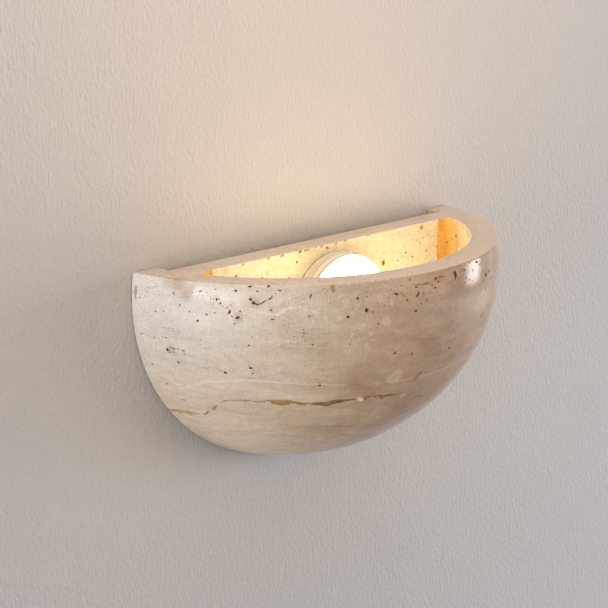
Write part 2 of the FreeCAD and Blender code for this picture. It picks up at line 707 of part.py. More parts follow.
def holder_cover():
    disc = rod(holder_radius - HOLDER_WALL - COVER_CLEARANCE, holder_back, cover_front, 0, lamp_z)
    start, stop = contact_span()
    pads = []
    for turn in (0, 180):
        outer = pin_circle + CONTACT_WIDTH / 2 - CONTACT_PAD_MARGIN
        inner = pin_circle - CONTACT_WIDTH / 2 + CONTACT_PAD_MARGIN
        pads.append(arc_band(outer, inner, holder_back, contact_near, turn + start, turn + stop))
    cuts = []
    near = holder_back - OVERRUN
    far = cover_front + OVERRUN
    screw_hole = HOLDER_SCREW_DIAMETER / 2 + SLOT_CLEARANCE
    lead_hole = lead_radius + LEAD_HOLE_CLEARANCE
    for side in (-1, 1):
        cuts.append(rod(screw_hole, near, far, 0, lamp_z + side * holder_screw_circle))
        cuts.append(rod(lead_hole, near, far, side * LEAD_RADIUS_PLACE, lamp_z))
    for x, z in cover_screw_places():
        cuts.append(rod(COVER_SCREW_DIAMETER / 2 + TOUCH, near, far, x, z))
        cuts.append(rod(COVER_SCREW_HEAD / 2 + TOUCH, near, holder_back + COVER_SCREW_HEAD_LENGTH, x, z))
    return disc.fuse(pads).cut(cuts)


def holder_cover_screw(x, z):
    head_far = holder_back + COVER_SCREW_HEAD_LENGTH
    head = rod(COVER_SCREW_HEAD / 2, holder_back, head_far, x, z)
    return head.fuse(rod(COVER_SCREW_DIAMETER / 2, head_far, holder_back + COVER_SCREW_LENGTH, x, z))


# Lamp

def lamp_housing():
    ribs_near = lamp_back + RIB_END_LAND
    ribs_far = housing_front - RIB_END_LAND
    core = lamp_radius - RIB_HEIGHT
    adds = [toothed_rod(lamp_radius, RIB_HEIGHT, RIB_PITCH, ribs_near, ribs_far, 0, lamp_z)]
    adds.append(rod(spigot_radius, housing_front, spigot_front, 0, lamp_z))
    adds.append(rod(boss_radius, boss_end, lamp_back, 0, lamp_z))
    body = rod(core, lamp_back, housing_front, 0, lamp_z).fuse(adds)
    room = spigot_radius - SPIGOT_WALL
    cuts = [rod(room, ledge_depth, spigot_front + OVERRUN, 0, lamp_z)]
    cuts.append(rod(room - LED_BOARD_LEDGE, lamp_back + HOUSING_BACK, spigot_front, 0, lamp_z))
    cuts.append(rod(boss_radius - BOSS_WALL, boss_step, lamp_back + OVERRUN, 0, lamp_z))
    cuts.append(rod(boss_radius - BOSS_WALL - BOARD_STEP, boss_end + BOSS_WALL, boss_step, 0, lamp_z))
    for side in (-1, 1):
        cuts.append(rod(pin_radius, boss_end, lamp_back + OVERRUN, side * pin_circle, lamp_z))
        rivet_room = PIN_RIVET_DIAMETER / 2 + RIVET_CLEARANCE
        cuts.append(rod(rivet_room, lamp_back + HOUSING_BACK, ledge_depth, side * pin_circle, lamp_z))
    return body.cut(cuts).removeSplitter()


def lamp_pin(side):
    x = side * pin_circle
    inside = lamp_back + HOUSING_BACK
    neck = rod(pin_radius, pin_head_far, inside, x, lamp_z)
    head = rod(pin_head_radius, pin_head_near, pin_head_far, x, lamp_z)
    rivet = rod(PIN_RIVET_DIAMETER / 2, inside, inside + PIN_RIVET_LENGTH, x, lamp_z)
    return neck.fuse([head, rivet]).removeSplitter()


def flange_far():
    """Front of the diffuser's flange, which the ring's step holds down."""
    return spigot_front + DIFFUSER_FLANGE


def lamp_front_ring():
    wide = spigot_radius + SPIGOT_CLEARANCE
    ring = rod(lamp_radius, housing_front, lamp_front, 0, lamp_z)
    edges = [e for e in ring.Edges if e.Closed and abs(e.BoundBox.YMin + lamp_front) < TOUCH]
    ring = ring.makeFillet(RING_ROUND, edges)
    step = flange_far()
    cuts = [rod(wide, housing_front - OVERRUN, step, 0, lamp_z)]
    cuts.append(rod(wide - RING_LIP, housing_front, lamp_front + OVERRUN, 0, lamp_z))
    return ring.cut(cuts)


def crown(ball, centre, radius):
    """Point of a shallow dome round the lamp's axis, whose ball is centred at one depth."""
    return V(radius, -centre - math.sqrt(ball ** 2 - radius ** 2), lamp_z)


def lamp_diffuser():
    """Shallow domed cup turned round the lamp's axis, with a flange that the ring holds down."""
    edge = spigot_radius + SPIGOT_CLEARANCE - RING_LIP - DIFFUSER_GAP
    bore = edge - DIFFUSER_WALL
    ball = (edge ** 2 + DIFFUSER_CROWN ** 2) / (2 * DIFFUSER_CROWN)
    hollow = ball - DIFFUSER_WALL
    centre = lamp_front + DIFFUSER_CROWN - ball
    step = flange_far()
    top = [crown(ball, centre, share * edge) for share in DOME_SHARES]
    under = [crown(hollow, centre, share * bore) for share in reversed(DOME_SHARES)]
    skirt = [top[-1], V(edge, -step, lamp_z), V(spigot_radius, -step, lamp_z),
             V(spigot_radius, -spigot_front, lamp_z), V(bore, -spigot_front, lamp_z), under[0]]
    sides = [Part.Arc(*top).toShape()]
    sides += [Part.makeLine(a, b) for a, b in zip(skirt, skirt[1:])]
    sides += [Part.Arc(*under).toShape(), Part.makeLine(under[-1], top[0])]
    return Part.Face(Part.Wire(sides)).revolve(V(0, 0, lamp_z), V(0, -1, 0), 360)


def led_board():
    radius = spigot_radius - SPIGOT_WALL - LED_BOARD_CLEARANCE
    return rod(radius, ledge_depth, ledge_depth + LED_BOARD_THICKNESS, 0, lamp_z)


def led_chips():
    near = ledge_depth + LED_BOARD_THICKNESS
    chips = []
    for radius, count in zip(CHIP_RING_RADII, CHIP_RING_COUNTS):
        for i in range(count):
            x, z = on_circle(radius, 360 * i / count)
            half = CHIP_WIDTH / 2
            tall = CHIP_LENGTH / 2
            chips.append(block(x - half, x + half, near, near + CHIP_HEIGHT, z - tall, z + tall))
    return chips


def driver_board():
    radius = boss_radius - BOSS_WALL - LED_BOARD_CLEARANCE
    return rod(radius, boss_step, boss_step + DRIVER_BOARD_THICKNESS, 0, lamp_z)


def driver_parts():
    near = boss_step + DRIVER_BOARD_THICKNESS
    away = DRIVER_PART_OFFSET
    capacitor = rod(CAPACITOR_DIAMETER / 2, near, near + CAPACITOR_LENGTH, 0, lamp_z + away)
    coil = rod(COIL_DIAMETER / 2, near, near + COIL_LENGTH, 0, lamp_z - away)
    left = -DRIVER_CHIP_OFFSET - DRIVER_CHIP_WIDTH / 2
    half = DRIVER_CHIP_LENGTH / 2
    right = left + DRIVER_CHIP_WIDTH
    chip = block(left, right, near, near + DRIVER_CHIP_HEIGHT, lamp_z - half, lamp_z + half)
    return [capacitor, coil, chip]


def led_lead(side):
    x = side * LED_LEAD_OFFSET
    near = boss_step + DRIVER_BOARD_THICKNESS
    return rod(LAMP_LEAD_DIAMETER / 2, near, ledge_depth, x, lamp_z - LED_LEAD_OFFSET / 2)


def pin_lead(side):
    """Lead from a pin's rivet across the lamp's back wall and down to the driver board."""
    radius = LAMP_LEAD_DIAMETER / 2
    across = lamp_back + HOUSING_BACK + PIN_LEAD_RISE
    start = pin_circle - PIN_RIVET_DIAMETER / 2
    foot = LED_LEAD_OFFSET
    board = boss_step + DRIVER_BOARD_THICKNESS
    z = lamp_z
    points = [V(side * start, -across, z), V(side * foot, -across, z), V(side * foot, -board, z)]
    return lead(points, radius, PIN_LEAD_BEND)


def both_sides(make, spacing):
    """The same piece left and right of the middle."""
    return [make(side * spacing / 2) for side in (-1, 1)]


def group(solids):
    return Part.makeCompound(solids)


nodes = {
    "stone_bowl": stone_bowl(),
    "wall_plate": wall_plate(),
    "wall_studs": group(both_sides(wall_stud, STUD_SPACING)),
    "stud_washers": group(both_sides(stud_washer, STUD_SPACING)),
    "left_knurled_nut": knurled_nut(-STUD_SPACING / 2),
    "right_knurled_nut": knurled_nut(STUD_SPACING / 2),
    "cable_bushing": cable_bushing(),
    "terminal_block": terminal_block(),
    "terminal_barrels": group([terminal_barrel(z) for z in pole_heights]),
    "terminal_screws": group([terminal_screw(x, z) for x, z in clamp_places()]),
    "terminal_fixing_screw": terminal_fixing_screw(),
    "earth_screw": earth_screw(),
    "earth_washer": earth_washer(),
    "earth_lug": earth_lug()[0],
    "live_lead": lamp_lead(0, 1, 0, 0),
    "neutral_lead": lamp_lead(1, -1, 1, LEAD_CROSS_ABOVE_LAMP),
    "earth_lead": earth_lead(),
    "holder_strap": holder_strap(),
    "holder_screws": group([holder_screw(side) for side in (-1, 1)]),
    "holder_body": holder_body(),
    "holder_cover": holder_cover(),
    "holder_cover_screws": group([holder_cover_screw(x, z) for x, z in cover_screw_places()]),
    "holder_contacts": group([contact_strip(turn) for turn in (0, 180)]),
    "lamp_housing": lamp_housing(),
    "lamp_front_ring": lamp_front_ring(),
    "lamp_diffuser": lamp_diffuser(),
    "lamp_pins": group([lamp_pin(side) for side in (-1, 1)]),
    "led_board": led_board(),
    "led_chips": group(led_chips()),
    "led_leads": group([led_lead(side) for side in (-1, 1)]),
    "pin_leads": group([pin_lead(side) for side in (-1, 1)]),
    "driver_board": driver_board(),
    "driver_parts": group(driver_parts()),
}

os.makedirs("parts", exist_ok=True)
for name, shape in nodes.items():
    shape.exportStep("parts/" + name + ".step")
    state = "valid" if shape.isValid() else "NOT VALID"
    print(name, len(shape.Solids), "solids", round(shape.Volume), "mm3", state)
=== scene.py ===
# %% [markdown]
# # A half moon wall light in travertine
# The light is one block of stone, turned and ground to a half bowl that stands on the wall with its flat
# side up. Behind it a steel plate on the wall carries it on two studs, and inside it a flat round lamp
# shines at the bowl's front wall, so that the light comes back up along the wall. This file loads the
# measured model, dresses its pieces with shapes and finishes, and sets a camera and plain studio light.

# %% Load the measured model
import json
import math
import random
from functools import partial
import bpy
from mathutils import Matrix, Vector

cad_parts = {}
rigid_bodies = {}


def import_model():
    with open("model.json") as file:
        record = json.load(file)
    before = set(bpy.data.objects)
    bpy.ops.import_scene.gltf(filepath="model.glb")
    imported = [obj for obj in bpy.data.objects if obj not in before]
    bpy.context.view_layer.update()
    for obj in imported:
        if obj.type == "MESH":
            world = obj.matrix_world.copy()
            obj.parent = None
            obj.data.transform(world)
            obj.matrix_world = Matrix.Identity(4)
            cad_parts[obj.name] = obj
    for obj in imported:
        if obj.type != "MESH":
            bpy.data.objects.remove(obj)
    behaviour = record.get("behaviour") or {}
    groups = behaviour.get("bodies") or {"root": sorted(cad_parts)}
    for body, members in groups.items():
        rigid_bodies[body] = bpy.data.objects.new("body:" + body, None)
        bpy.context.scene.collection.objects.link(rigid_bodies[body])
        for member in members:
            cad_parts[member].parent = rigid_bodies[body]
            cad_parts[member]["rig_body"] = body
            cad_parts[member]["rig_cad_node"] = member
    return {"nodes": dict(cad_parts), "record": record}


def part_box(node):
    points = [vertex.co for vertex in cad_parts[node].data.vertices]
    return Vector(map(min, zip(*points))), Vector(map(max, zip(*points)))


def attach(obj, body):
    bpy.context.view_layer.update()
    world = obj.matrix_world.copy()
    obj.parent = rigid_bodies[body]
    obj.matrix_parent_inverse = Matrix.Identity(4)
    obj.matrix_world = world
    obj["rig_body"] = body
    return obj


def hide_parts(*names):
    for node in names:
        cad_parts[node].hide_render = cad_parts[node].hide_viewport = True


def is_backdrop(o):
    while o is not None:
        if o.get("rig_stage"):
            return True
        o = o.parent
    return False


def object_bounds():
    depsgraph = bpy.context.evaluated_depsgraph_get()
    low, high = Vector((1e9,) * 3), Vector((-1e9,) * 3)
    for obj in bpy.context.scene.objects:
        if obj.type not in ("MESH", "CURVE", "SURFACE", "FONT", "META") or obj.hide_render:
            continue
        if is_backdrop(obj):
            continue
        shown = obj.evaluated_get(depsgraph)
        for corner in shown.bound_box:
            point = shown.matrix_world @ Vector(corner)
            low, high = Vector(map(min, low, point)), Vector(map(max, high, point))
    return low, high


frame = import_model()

from types import SimpleNamespace

import bpy
from mathutils import Matrix, Vector

MM = 0.001
bpy.context.view_layer.update()
nodes = frame["nodes"]

# %% [markdown]
# ## The camera
# The view looks down on the bowl from its left. Its direction, distance and lens come from points that
# were read off the photograph and fitted to the real size. The camera is made first, because the marks
# in the stone are placed through it: a pixel is a ray, and the ray lands on the stone.

# %% Camera
PICTURE = 608
LENS_PIXELS = 1717.5
SENSOR = 36.0
YAW = math.radians(43.931)
PITCH = math.radians(15.2)
CAMERA_DISTANCE = 1172.4 * MM
AIM = Vector((0, -40 * MM, 10 * MM))
AIM_RIGHT = -26.35 * MM
AIM_UP = 8.81 * MM

forward = Vector((math.sin(YAW) * math.cos(PITCH), math.cos(YAW) * math.cos(PITCH), -math.sin(PITCH)))
rightward = Vector((math.cos(YAW), -math.sin(YAW), 0))
upward = rightward.cross(forward)
camera_place = AIM + AIM_RIGHT * rightward + AIM_UP * upward - CAMERA_DISTANCE * forward

camera_data = bpy.data.cameras.new("camera")
camera_data.sensor_width = SENSOR
camera_data.lens = LENS_PIXELS / PICTURE * SENSOR
camera = bpy.data.objects.new("camera", camera_data)
bpy.context.scene.collection.objects.link(camera)
camera.location = camera_place
camera.rotation_euler = (math.pi / 2 - PITCH, 0, -YAW)
bpy.context.scene.camera = camera


def pixel_ray(u, v):
    """Direction from the camera through a pixel of the picture."""
    middle = PICTURE / 2
    return (forward * LENS_PIXELS + rightward * (u - middle) - upward * (v - middle)).normalized()


print("the camera stands", round(camera_place.length, 3), "m from the light, with a lens of",
      round(camera_data.lens, 1), "mm")

# %% [markdown]
# ## Small helpers
# Every new piece starts from one of Blender's primitives and is shaped in edit mode. An operator acts on
# all that is selected, so each step first clears the selection and then picks what it needs by place.


# %% Selecting and cutting
def select_only(*pieces):
    bpy.ops.object.select_all(action="DESELECT")
    for piece in pieces:
        piece.select_set(True)
    bpy.context.view_layer.objects.active = pieces[0]


def edit_all(piece):
    """Goes into edit mode with everything selected."""
    select_only(piece)
    bpy.ops.object.mode_set(mode="EDIT")
    bpy.ops.mesh.select_all(action="SELECT")


def end_edit():
    bpy.ops.object.mode_set(mode="OBJECT")


def pick(piece, kind, test):
    """Goes into edit mode with only those vertices, edges or faces selected that pass a test."""
    edit_all(piece)
    bpy.ops.mesh.select_mode(type=kind)
    bpy.ops.mesh.select_all(action="DESELECT")
    end_edit()
    parts = {"VERT": piece.data.vertices, "EDGE": piece.data.edges, "FACE": piece.data.polygons}[kind]
    for part in parts:
        part.select = test(part)
    bpy.ops.object.mode_set(mode="EDIT")


def settle(*pieces):
    """Puts each object's place, turn and scale into its mesh, so that the object stays at the origin."""
    select_only(*pieces)
    bpy.ops.object.transform_apply(location=True, rotation=True, scale=True)


def fresh(name):
    """The primitive that was just added, under its own name and with its place in its mesh."""
    piece = bpy.context.object
    piece.name = name
    settle(piece)
    return piece


def slice_off(piece, place, direction):
    """Cuts away all that lies beyond a plane and closes the cut."""
    edit_all(piece)
    bpy.ops.mesh.bisect(plane_co=place, plane_no=direction, use_fill=True, clear_outer=True, threshold=1e-5)
    end_edit()


def face_outwards(piece):
    edit_all(piece)
    bpy.ops.mesh.remove_doubles(threshold=0.001 * MM)
    bpy.ops.mesh.normals_make_consistent(inside=False)
    end_edit()


def use_modifier(piece, kind, **settings):
    """Adds one modifier with its settings and applies it."""
    select_only(piece)
    made = piece.modifiers.new("step", kind)
    for key, value in settings.items():
        setattr(made, key, value)
    bpy.ops.object.modifier_apply(modifier=made.name)


def carve(body, tool):
    """Takes the tool out of the body. The cut faces keep the tool's finish."""
    use_modifier(body, "BOOLEAN", operation="DIFFERENCE", solver="MANIFOLD", object=tool)
    bpy.data.objects.remove(tool)


def smooth(piece, degrees=32):
    select_only(piece)
    bpy.ops.object.shade_smooth_by_angle(angle=math.radians(degrees))


def describe(piece):
    triangles = sum(len(face.vertices) - 2 for face in piece.data.polygons)
    print(piece.name, "has", triangles, "triangles and measures",
          [round(side / MM, 1) for side in piece.dimensions], "mm")


# %% [markdown]
# ## Helpers for finishes
# A finish is a small tree of shader nodes. Colours are written as the hex values that a screen shows and
# turned to linear light by one function. A pattern's size is written in millimetres, and one function
# turns that into the number of times that it repeats in a metre. One function adds a node, sets it,
# links what it reads and gives back the socket that the next node reads, and short ones stand for the
# nodes that are used most: a noise, a sum, a change of range, and one colour laid over another.


# %% Colours, scales and shader nodes
def paint(code):
    """Linear colour of an sRGB hex code."""
    shares = [int(code[i:i + 2], 16) / 255 for i in (1, 3, 5)]
    return tuple(((c + 0.055) / 1.055) ** 2.4 if c > 0.04045 else c / 12.92 for c in shares) + (1.0,)


def per(size_mm):
    """Texture scale whose features are about this many millimetres across."""
    return 1 / (size_mm * MM)


def set_inputs(node, inputs):
    """Gives a shader node its inputs: a socket is linked, and anything else is set as a value."""
    for key, value in inputs.items():
        if isinstance(value, bpy.types.NodeSocket):
            node.id_data.links.new(value, node.inputs[key])
        else:
            node.inputs[key].default_value = value


def add_node(tree, kind, inputs=None, output=0, stops=(), points=(), **settings):
    """Adds a shader node with its settings and inputs, and gives back one of its outputs."""
    made = tree.nodes.new("ShaderNode" + kind)
    for key, value in settings.items():
        setattr(made, key, value)
    set_inputs(made, inputs or {})
    for number, (spot, code) in enumerate(stops):
        if number >= len(made.color_ramp.elements):
            made.color_ramp.elements.new(1.0)
        made.color_ramp.elements[number].position = spot
        made.color_ramp.elements[number].color = paint(code)
    if points:
        line = made.mapping.curves[0]
        line.points[0].location = (0, points[0][1])
        line.points[1].location = (1, points[-1][1])
        for spot in points:
            line.points.new(*spot).handle_type = "VECTOR"
        made.mapping.update()
    return made.outputs[output]


def noise(add, place, size_mm, detail, roughness=0.5, distortion=0.0):
    """A cloudy pattern whose features are about this many millimetres across."""
    return add("TexNoise", {"Vector": place, "Scale": per(size_mm), "Detail": detail,
                            "Roughness": roughness, "Distortion": distortion})


def maths(add, operation, *values, **settings):
    """Works out one operation on one, two or three values."""
    return add("Math", dict(enumerate(values)), operation=operation, **settings)


def remap(add, value, source=(0, 1), target=(0, 1)):
    """Turns one range of values into another, and holds what lies beyond at its ends."""
    return add("MapRange", dict(enumerate((value, *source, *target))))


def glaze(add, cover, under, over, blend_type="MIX"):
    """Lays a colour over another. Cover is how much of it shows."""
    return add("Mix", {0: cover, 6: under, 7: over}, output=2, data_type="RGBA", blend_type=blend_type)


def gap_between(add, value, other):
    """How far two values lie apart."""
    return maths(add, "ABSOLUTE", maths(add, "SUBTRACT", value, other))


def new_finish(name):
    """An empty material, what adds its nodes, its shader and the coordinates that its patterns read."""
    made = bpy.data.materials.new(name)
    made.use_nodes = True
    add = partial(add_node, made.node_tree)
    return made, add, made.node_tree.nodes["Principled BSDF"], add("TexCoord", output="Object")


print("helpers are ready; a colour of #808080 is", round(paint("#808080")[0], 3), "in linear light")

# %% [markdown]
# ## The bowl's form
# The real bowl is turned from a block: a solid of revolution whose axis lies a little behind the wall,
# cut flat at the wall and at the rim. So it is made the same way here. A circle is stretched to the oval
# of the bowl's side, spun half a turn about the axis, and sliced at the wall and at the rim. The hollow
# is a second, smaller one, sliced at the front of the back plate.

# %% Sizes of the stone
WIDEST_BELOW_RIM = 19 * MM
SIDE_WALL = 18.5 * MM
FLOOR = 22 * MM
EAR_WIDTH = 19.5 * MM
SEAT_CLEARANCE = 0.3 * MM
SEAT_WIDTH = 11 * MM
STUD_HOLE = 4 * MM
SCREW_HOLE = 1.75 * MM
OVERRUN = 2 * MM
ARRIS = 0.7 * MM
SNUG = 0.01 * MM
FILLET = 6 * MM
FILLET_STEPS = 6
SQUARE_ON = 0.99

stone_low, stone_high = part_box("stone_bowl")
rim = stone_high.z
widest = rim - WIDEST_BELOW_RIM
half_width = (stone_high.x - stone_low.x) / 2
bowl_depth = stone_high.y - stone_low.y
bowl_height = stone_high.z - stone_low.z
turn_radius = (half_width ** 2 + bowl_depth ** 2) / (2 * bowl_depth)
axis_behind = turn_radius - bowl_depth
turn_drop = (bowl_height - WIDEST_BELOW_RIM) / math.sqrt(1 - (axis_behind / turn_radius) ** 2)
bowl_centre = Vector((0, axis_behind, widest))
recess_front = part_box("holder_strap")[0].y
inner_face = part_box("stud_washers")[1].y
ring_low, ring_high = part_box("lamp_front_ring")
lamp_height = (ring_low.z + ring_high.z) / 2
print("the bowl is turned to", round(turn_radius / MM, 1), "mm about an axis", round(axis_behind / MM, 1),
      "mm behind the wall; its back plate lies from", round(-recess_front / MM, 1), "to",
      round(-inner_face / MM, 1), "mm")


# %% Turn half a bowl
def half_bowl(name, radius, drop, rings, steps, back):
    """Half a turned oval, sliced at the back."""
    bpy.ops.object.select_all(action="DESELECT")
    bpy.ops.mesh.primitive_circle_add(vertices=rings, radius=1.0, location=bowl_centre,
                                      rotation=(math.pi / 2, 0, 0))
    bpy.context.object.scale = (radius, drop, 1)
    piece = fresh(name)
    edit_all(piece)
    bpy.ops.mesh.bisect(plane_co=bowl_centre, plane_no=(1, 0, 0), clear_inner=True, threshold=1e-6)
    bpy.ops.mesh.select_all(action="SELECT")
    bpy.ops.mesh.spin(steps=steps, angle=math.pi, center=bowl_centre, axis=(0, 0, 1))
    end_edit()
    face_outwards(piece)
    slice_off(piece, (0, back, 0), (0, 1, 0))
    return piece


def arc(centre_radius, centre_depth, radius, start, end, steps):
    """Points on part of a circle in a section, at angles in degrees from the radius direction."""
    angles = [math.radians(start + (end - start) * i / steps) for i in range(steps + 1)]
    return [(centre_radius + radius * math.cos(a), centre_depth + radius * math.sin(a)) for a in angles]


BOWL_RINGS = 330
BOWL_STEPS = 180
HOLLOW_RINGS = 240
HOLLOW_STEPS = 130
stone = half_bowl("travertine_bowl", turn_radius, turn_drop, BOWL_RINGS, BOWL_STEPS, 0)
slice_off(stone, (0, 0, rim), (0, 0, 1))
face_outwards(stone)

# The hollow's back corner is rounded: its cut face is drawn back in steps that each get smaller
hollow_radius = turn_radius - SIDE_WALL
corner_ahead = axis_behind - inner_face + FILLET
corner_aside = math.sqrt((hollow_radius - FILLET) ** 2 - corner_ahead ** 2)
leave = math.degrees(math.atan2(corner_ahead, corner_aside))
corner = arc(corner_aside, corner_ahead, FILLET, leave, -90, FILLET_STEPS)
hollow = half_bowl("hollow", hollow_radius, turn_drop - FLOOR, HOLLOW_RINGS, HOLLOW_STEPS,
                   axis_behind - corner[0][1])
pick(hollow, "FACE", lambda face: face.normal.y > SQUARE_ON)
half_height = (turn_drop - FLOOR) * math.sqrt(1 - (corner[0][1] / hollow_radius) ** 2)
for last, here in zip(corner, corner[1:]):
    bpy.ops.mesh.extrude_region_move(TRANSFORM_OT_translate={"value": (0, last[1] - here[1], 0)})
    narrower = here[0] - last[0]
    bpy.ops.transform.resize(value=(here[0] / last[0], 1, 1 + narrower / half_height),
                             center_override=bowl_centre)
    half_height += narrower
bpy.ops.mesh.select_mode(type="VERT")
end_edit()
slice_off(hollow, (0, 0, rim), (0, 0, 1))
face_outwards(hollow)
pick(hollow, "FACE", lambda face: face.normal.z > SQUARE_ON and face.center.z > rim - OVERRUN)
bpy.ops.mesh.extrude_region_move(TRANSFORM_OT_translate={"value": (0, 0, OVERRUN)})
bpy.ops.mesh.select_mode(type="VERT")
end_edit()
describe(stone)
describe(hollow)

# %% [markdown]
# ## Marks that belong to this block
# The ochre seam and the pale healed line are heights that change with the angle round the bowl. Their
# pixels are read off the photograph, and their rays meet the stone. Calcite spots, brown stains, thin
# brown lines and short streaks are placed in the same way.

# %% Where the marks lie
# The seam: column, row and thickness in pixels
SEAM_PIXELS = [
    (171, 410, 2), (178, 411, 3), (186, 412, 3.2), (196, 413.6, 2.2), (203, 414.4, 0.2), (207, 413, 2.2),
    (211, 410, 0), (214.6, 407.4, 3), (218, 404.4, -0.4), (221.5, 401.6, 0.4), (225, 400.8, 1.4),
    (236, 400.5, 1.6), (247, 400.6, 1.8), (251, 400.2, 0.2), (260, 402.8, 1.9), (264.6, 400.8, 0.8),
    (269, 400.8, 1.6), (274, 402.2, 4), (281, 402.6, 4.6), (289, 402.2, 3.8), (295, 402.8, 2.4),
    (302, 403.4, 1.6), (310, 403.7, 1.1), (315, 403.6, 1.8), (321, 404.6, 3.8), (327, 403.6, 3.8),
    (334, 402, 4), (341.5, 401, 2.4), (350, 399.9, 2.1), (356, 399.4, 1.6), (359.5, 398.8, 0.6),
    (363.8, 398.6, 3.4), (368, 397, 2.4), (371, 395.6, 0.8), (376.5, 396.2, 1.4), (383.7, 396.2, 3.2),
    (391, 394.6, 1.4), (398, 393.8, 0.4), (412, 396, -0.8), (421.2, 396.6, 2.4), (428, 393, -0.6),
    (437.2, 389, 2.2), (446, 384, -1)]
PALE_PIXELS = [
    (158, 372, 1), (169, 379, 1), (183, 388, 1), (207, 382, 1), (247, 380, 1), (290, 383, 1), (330, 385, 1),
    (370, 384, 1), (410, 379, 1)]
# Spots: column, row and width in millimetres
CALCITE_PIXELS = [
    (303, 312, 6.5), (316, 311, 5), (346, 303, 5.5), (334, 328, 5), (362, 327, 5), (386, 321, 7),
    (380, 298, 4), (395, 377, 12), (402, 396, 4), (378, 418, 5), (250, 374, 7), (340, 296, 4),
    (352, 313, 3), (357, 305, 3), (371, 334, 3), (352, 336, 3), (366, 345, 3), (340, 318, 4), (392, 303, 4),
    (326, 318, 3), (274, 371, 7), (235, 378, 4), (290, 340, 3), (207, 300, 3)]
STAIN_PIXELS = [
    (441, 298, 8), (444.6, 304.5, 5), (333.5, 289.4, 4.5), (418, 379.5, 7), (363, 385, 5), (383, 396, 6),
    (422.8, 397, 7), (438, 389, 8), (178, 283, 16), (186, 294, 12), (172, 350, 9), (238, 318, 9),
    (256, 303, 11), (455, 275, 10), (440, 277, 11), (486, 274, 9), (410, 372, 20), (355, 384, 18)]
# Brown lines along the beds, as the seam is written; a thickness below nought hides a line's end
BROWN_LINES = [
    [(136, 333, -2), (139, 333, 1.2), (146, 333.4, 1), (151, 334, -2)],
    [(303, 427, -2), (312, 426, 1), (330, 426.4, 1.3), (350, 426, 1.1), (372, 425.4, 1.4), (386, 425, 0.8),
     (393, 425, -2)],
    [(196, 366, -2), (201, 367, 0.8), (207, 368, 0.7), (212, 366, 0.5), (218, 369, 0.9), (224, 372, 1),
     (238, 371, -2)],
    [(308, 384.6, -2), (318, 385.4, 1.4), (327, 386, -0.4), (344, 385, 0.2), (357, 384.6, 2.2),
     (364, 385.6, 0.8), (374, 385, -2)],
    [(322, 433, -2), (335, 433.4, 0.9), (350, 435, 1.1), (366, 433, 0.8), (380, 433, -2)],
    [(258, 441, -2), (280, 442.6, 0.7), (300, 443, 0.8), (330, 442, 0.8), (347, 440, -2)]]
# Short streaks: ends in columns and rows, width in millimetres, colour and strength
STREAK_PIXELS = [
    (135.6, 287, 135.6, 298, 2.2, "#B48A52", 0.8), (160, 276.8, 178, 280, 1.4, "#B28250", 0.7),
    (146, 272.6, 160, 276.4, 1.4, "#B98F63", 0.6), (166, 284, 190, 288, 8, "#CBAE8C", 0.35),
    (421, 372.5, 414, 379.5, 5, "#8C6244", 0.75), (432, 388, 447, 379, 6, "#95694A", 0.55),
    (433, 392, 440, 388, 5, "#8C6244", 0.5), (366, 399, 374, 393, 3, "#95694A", 0.6),
    (252, 309, 263, 313.6, 2, "#F3ECE2", 0.5), (263, 313.6, 277, 314, 2.2, "#F3ECE2", 0.5),
    (277, 314, 289, 308.6, 2, "#F3ECE2", 0.5), (289, 308.6, 300, 306.6, 2, "#F3ECE2", 0.4),
    (359.4, 398.4, 361.4, 400, 3, "#E9DDCB", 0.8), (216, 434, 236, 438, 2, "#EFE7DC", 0.45),
    (236, 438, 252, 436, 1.6, "#EFE7DC", 0.4), (333, 287, 334, 291, 3, "#A07A4E", 0.7),
    (268, 300, 272, 296, 1.2, "#7A5238", 0.8), (414, 285, 430, 283.6, 1.4, "#7A5238", 0.6),
    (398, 291, 404, 296, 1.6, "#7A5238", 0.6), (427, 212.6, 438, 210.4, 2.6, "#B98A55", 0.5),
    (442, 214, 466, 215, 1.8, "#B98A55", 0.3), (356, 234, 372, 229.5, 1.6, "#9A7454", 0.5),
    (300, 253.5, 322, 247.5, 2.4, "#A87C56", 0.55)]
# How tan and how shaded the stone is at each angle round the bowl, in degrees from straight out
# Partly the stone's own colour and partly painted light and shade: paler where the side faces the light at
# the left, darker where it turns away
TAN_AND_SHADE_BY_ANGLE = [
    (-97, 0.10), (-79, 0.12), (-64, 0.22), (-50, 0.37), (-36, 0.56), (-21, 0.77), (-5, 0.95), (10, 1.0),
    (28, 0.88), (50, 0.58), (97, 0.35)]
# A curve runs from nought to one, which stand for these radians to each side, heights and thicknesses
ANGLE_SPAN = 1.7
LOW_Z = -0.1
HIGH_Z = 0.07
THICKEST = 6 * MM
# A line's ragged edge hides part of it, so it is drawn this much thicker than it is read
THICKER = 1.6
# Painted shade in the hollow's back corners, tinted amber as the lamp's bounced light
CORNER_SHADE_WIDTH = 7.2 * MM
CORNER_SHADE_FADE = 13 * MM


# %% From the picture to the stone
def on_stone(u, v):
    """Where a pixel's ray meets the stone, and the face's normal there."""
    hit, spot, normal, _ = stone.ray_cast(camera_place, pixel_ray(u, v))
    return (spot, normal) if hit else None


def in_hollow(spot):
    """Whether a spot on the stone is inside the hollow."""
    return math.hypot(spot.x, spot.y - axis_behind) < hollow_radius + SNUG and rim - spot.z > SNUG


def line_round_bowl(pixels):
    """Height and thickness of a line against the share of the way round the bowl, as two curves."""
    heights, widths = [], []
    for u, v, thick in pixels:
        spot, _ = on_stone(u, v)
        share = (math.atan2(spot.x, axis_behind - spot.y) + ANGLE_SPAN) / (2 * ANGLE_SPAN)
        pixel = (spot - camera_place).length / LENS_PIXELS
        heights.append((share, (spot.z - LOW_Z) / (HIGH_Z - LOW_Z)))
        widths.append((share, (thick * THICKER * pixel / THICKEST + 1) / 2))
    return sorted(heights), sorted(widths)


